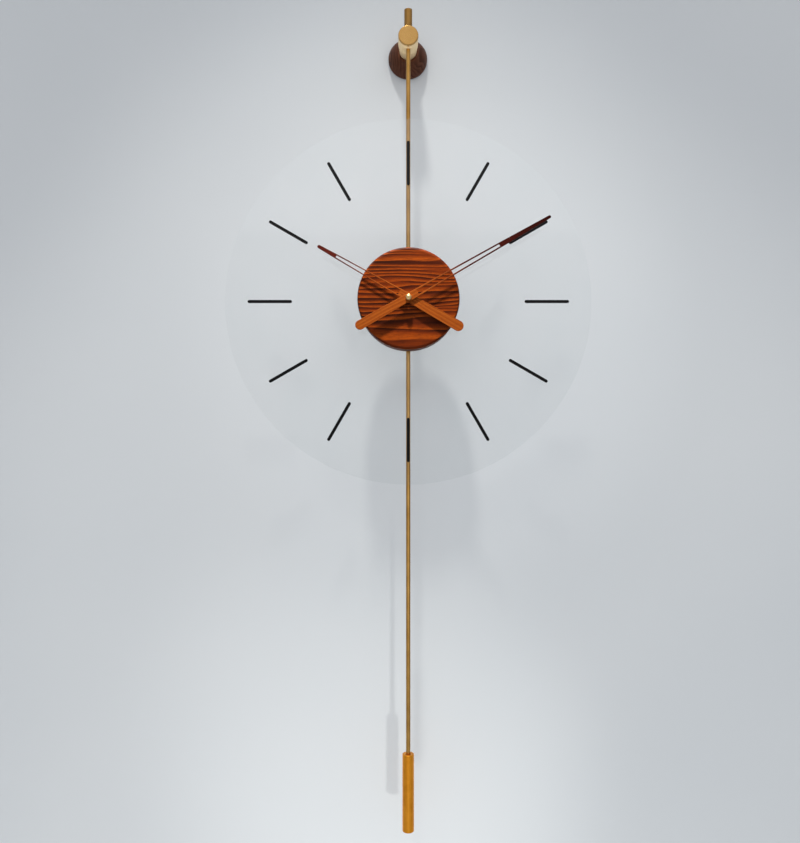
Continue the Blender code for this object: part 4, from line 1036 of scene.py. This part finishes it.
def make_room():
    """Wall, floor, studio and lamps."""
    floor_z = -1.75
    behind = 0.4 * MM  # the wall plate's back must not lie in the wall's own plane
    wall_width, wall_height, floor_width, floor_depth = 5.2, 3.4, 16.0, 12.0
    start = (-wall_width / 2, behind, floor_z)
    wall = sheet_of("wall", start, (wall_width, 0, 0), (0, 0, wall_height))
    wall.data.materials.append(painted_plaster("painted_wall", True))
    start = (-floor_width / 2, -floor_depth, floor_z)
    floor = sheet_of("floor", start, (floor_width, 0, 0), (0, floor_depth, 0))
    floor.data.materials.append(painted_plaster("painted_floor", False))

    # The studio is brighter overhead than underfoot, so the dial's upper half mirrors more light.
    world = bpy.data.worlds.new("studio")
    world.use_nodes = True
    tree = world.node_tree
    direction = add(tree, "TexCoord").outputs["Generated"]
    height = add(tree, "SeparateXYZ", {"Vector": direction}).outputs["Z"]
    rise = {"Value": height, "From Min": -0.12, "From Max": 0.34, "To Min": 0.19, "To Max": 0.79}
    glow = add(tree, "MapRange", rise).outputs[0]
    # What the camera itself sees of it is a plain pale backdrop.
    seen = add(tree, "LightPath").outputs["Is Camera Ray"]
    backdrop = add(tree, "Math", {0: seen, 1: 0.66}, operation="MULTIPLY").outputs[0]
    glow = add(tree, "Math", {0: glow, 1: backdrop}, operation="MAXIMUM").outputs[0]
    feed(tree.nodes["Background"], {"Color": linear("#F2F1F4"), "Strength": glow})
    bpy.context.scene.world = world

    # A downlight near the ceiling, close to the wall: it draws the pale arch and the long shadows.
    lamp(
        "downlight",
        "SPOT",
        (-0.111, -0.616, 1.107),
        (-0.040, -0.596, 0.107),
        44.0,
        "#FFFCF6",
        spot_size=np.radians(66),
        spot_blend=0.5,
        shadow_soft_size=0.06,
    )
    # A narrow lamp from the right front: part of the pale pool, and the rod's faint second shadow.
    hanging = pieces("drawn_lower_rod", "gilt_weight")
    lamp(
        "low_lamp",
        "SPOT",
        (0.487, -1.507, -1.6),
        (-0.032, 0, -1.043),
        21.0,
        "#FFFDF8",
        lights=[wall],
        shadows=hanging,
        spot_size=np.radians(25),
        spot_blend=1.0,
        shadow_soft_size=0.05,
    )
    # A small lamp standing on the floor lights the foot of the wall.
    at, towards = (-0.107, -0.6, -1.7), (-0.107, 0, -1.5)
    lamp("floor_lamp", "AREA", at, towards, 1.8, "#FFFDF8", lights=[wall], shadows=hanging, size=0.15)
    # A wide lamp lifts the wall behind the dial.
    lamp(
        "dial_lamp",
        "SPOT",
        (0.1, -2.2, -0.3),
        (0.05, 0, -0.40),
        16.0,
        lights=[wall],
        shadows=[wall],
        spot_size=np.radians(21),
        spot_blend=1.0,
    )
    # A broad soft panel above the viewer, which the dial and the brass mirror.
    panel = {"size": 3.6, "size_y": 1.8, "shape": "RECTANGLE"}
    lamp("soft_panel", "AREA", (0.0, -2.3, 1.1), (0.0, 0.0, -0.35), 6.0, **panel)
    # A wide strip below the viewer's height evens out the brass from top to bottom.
    brasses = [*pieces("drawn_upper_rod"), *hanging]
    strip = {"size": 2.4, "size_y": 1.8, "shape": "RECTANGLE"}
    at, towards = (0.0, -2.4, -0.65), (0.0, 0.0, -0.65)
    lamp("brass_strip", "AREA", at, towards, 12.5, lights=brasses, **strip)
    # A small lamp from below the bracket makes the underside of the post glow.
    bracket = pieces("tapered_post", "turned_head", "satin_knob_barrel")
    at, towards = (0.0, -0.55, -0.7), (0.0, -0.05, 0.0)
    lamp("post_lamp", "AREA", at, towards, 4.0, lights=bracket, size=0.5)
    # A key lamp high above the hub throws the hands' soft shadows down its face.
    hands = pieces("slotted_hour_hand", "slotted_minute_hand", "knurled_cap_nut")
    lamp(
        "hub_key",
        "SPOT",
        (-0.06, -0.574, 0.9),
        (0.0, -0.107, -0.361),
        220.0,
        "#FFF8EE",
        lights=[*pieces("turned_drum"), *hands],
        shadows=hands,
        spot_size=np.radians(14),
        spot_blend=0.6,
        shadow_soft_size=0.05,
    )


def make_camera():
    """A level camera in front of the clock, a little left of its axis."""
    data = bpy.data.cameras.new("viewer")
    data.lens = 35.87
    data.sensor_width = 36.0
    data.clip_end = 50.0
    camera = bpy.data.objects.new("viewer", data)
    camera.location = (-0.0113, -1.220, -0.5245)
    camera.rotation_euler = (np.pi / 2, 0, 0)
    bpy.context.scene.collection.objects.link(camera)
    bpy.context.scene.camera = camera
    bpy.context.scene.view_settings.view_transform = "Standard"


make_camera()
make_bracket()
make_head()
make_rod()
make_screws()
make_ring_and_dial()
make_hub()
make_movement()
make_hands()
dress_kept_nodes()
make_room()
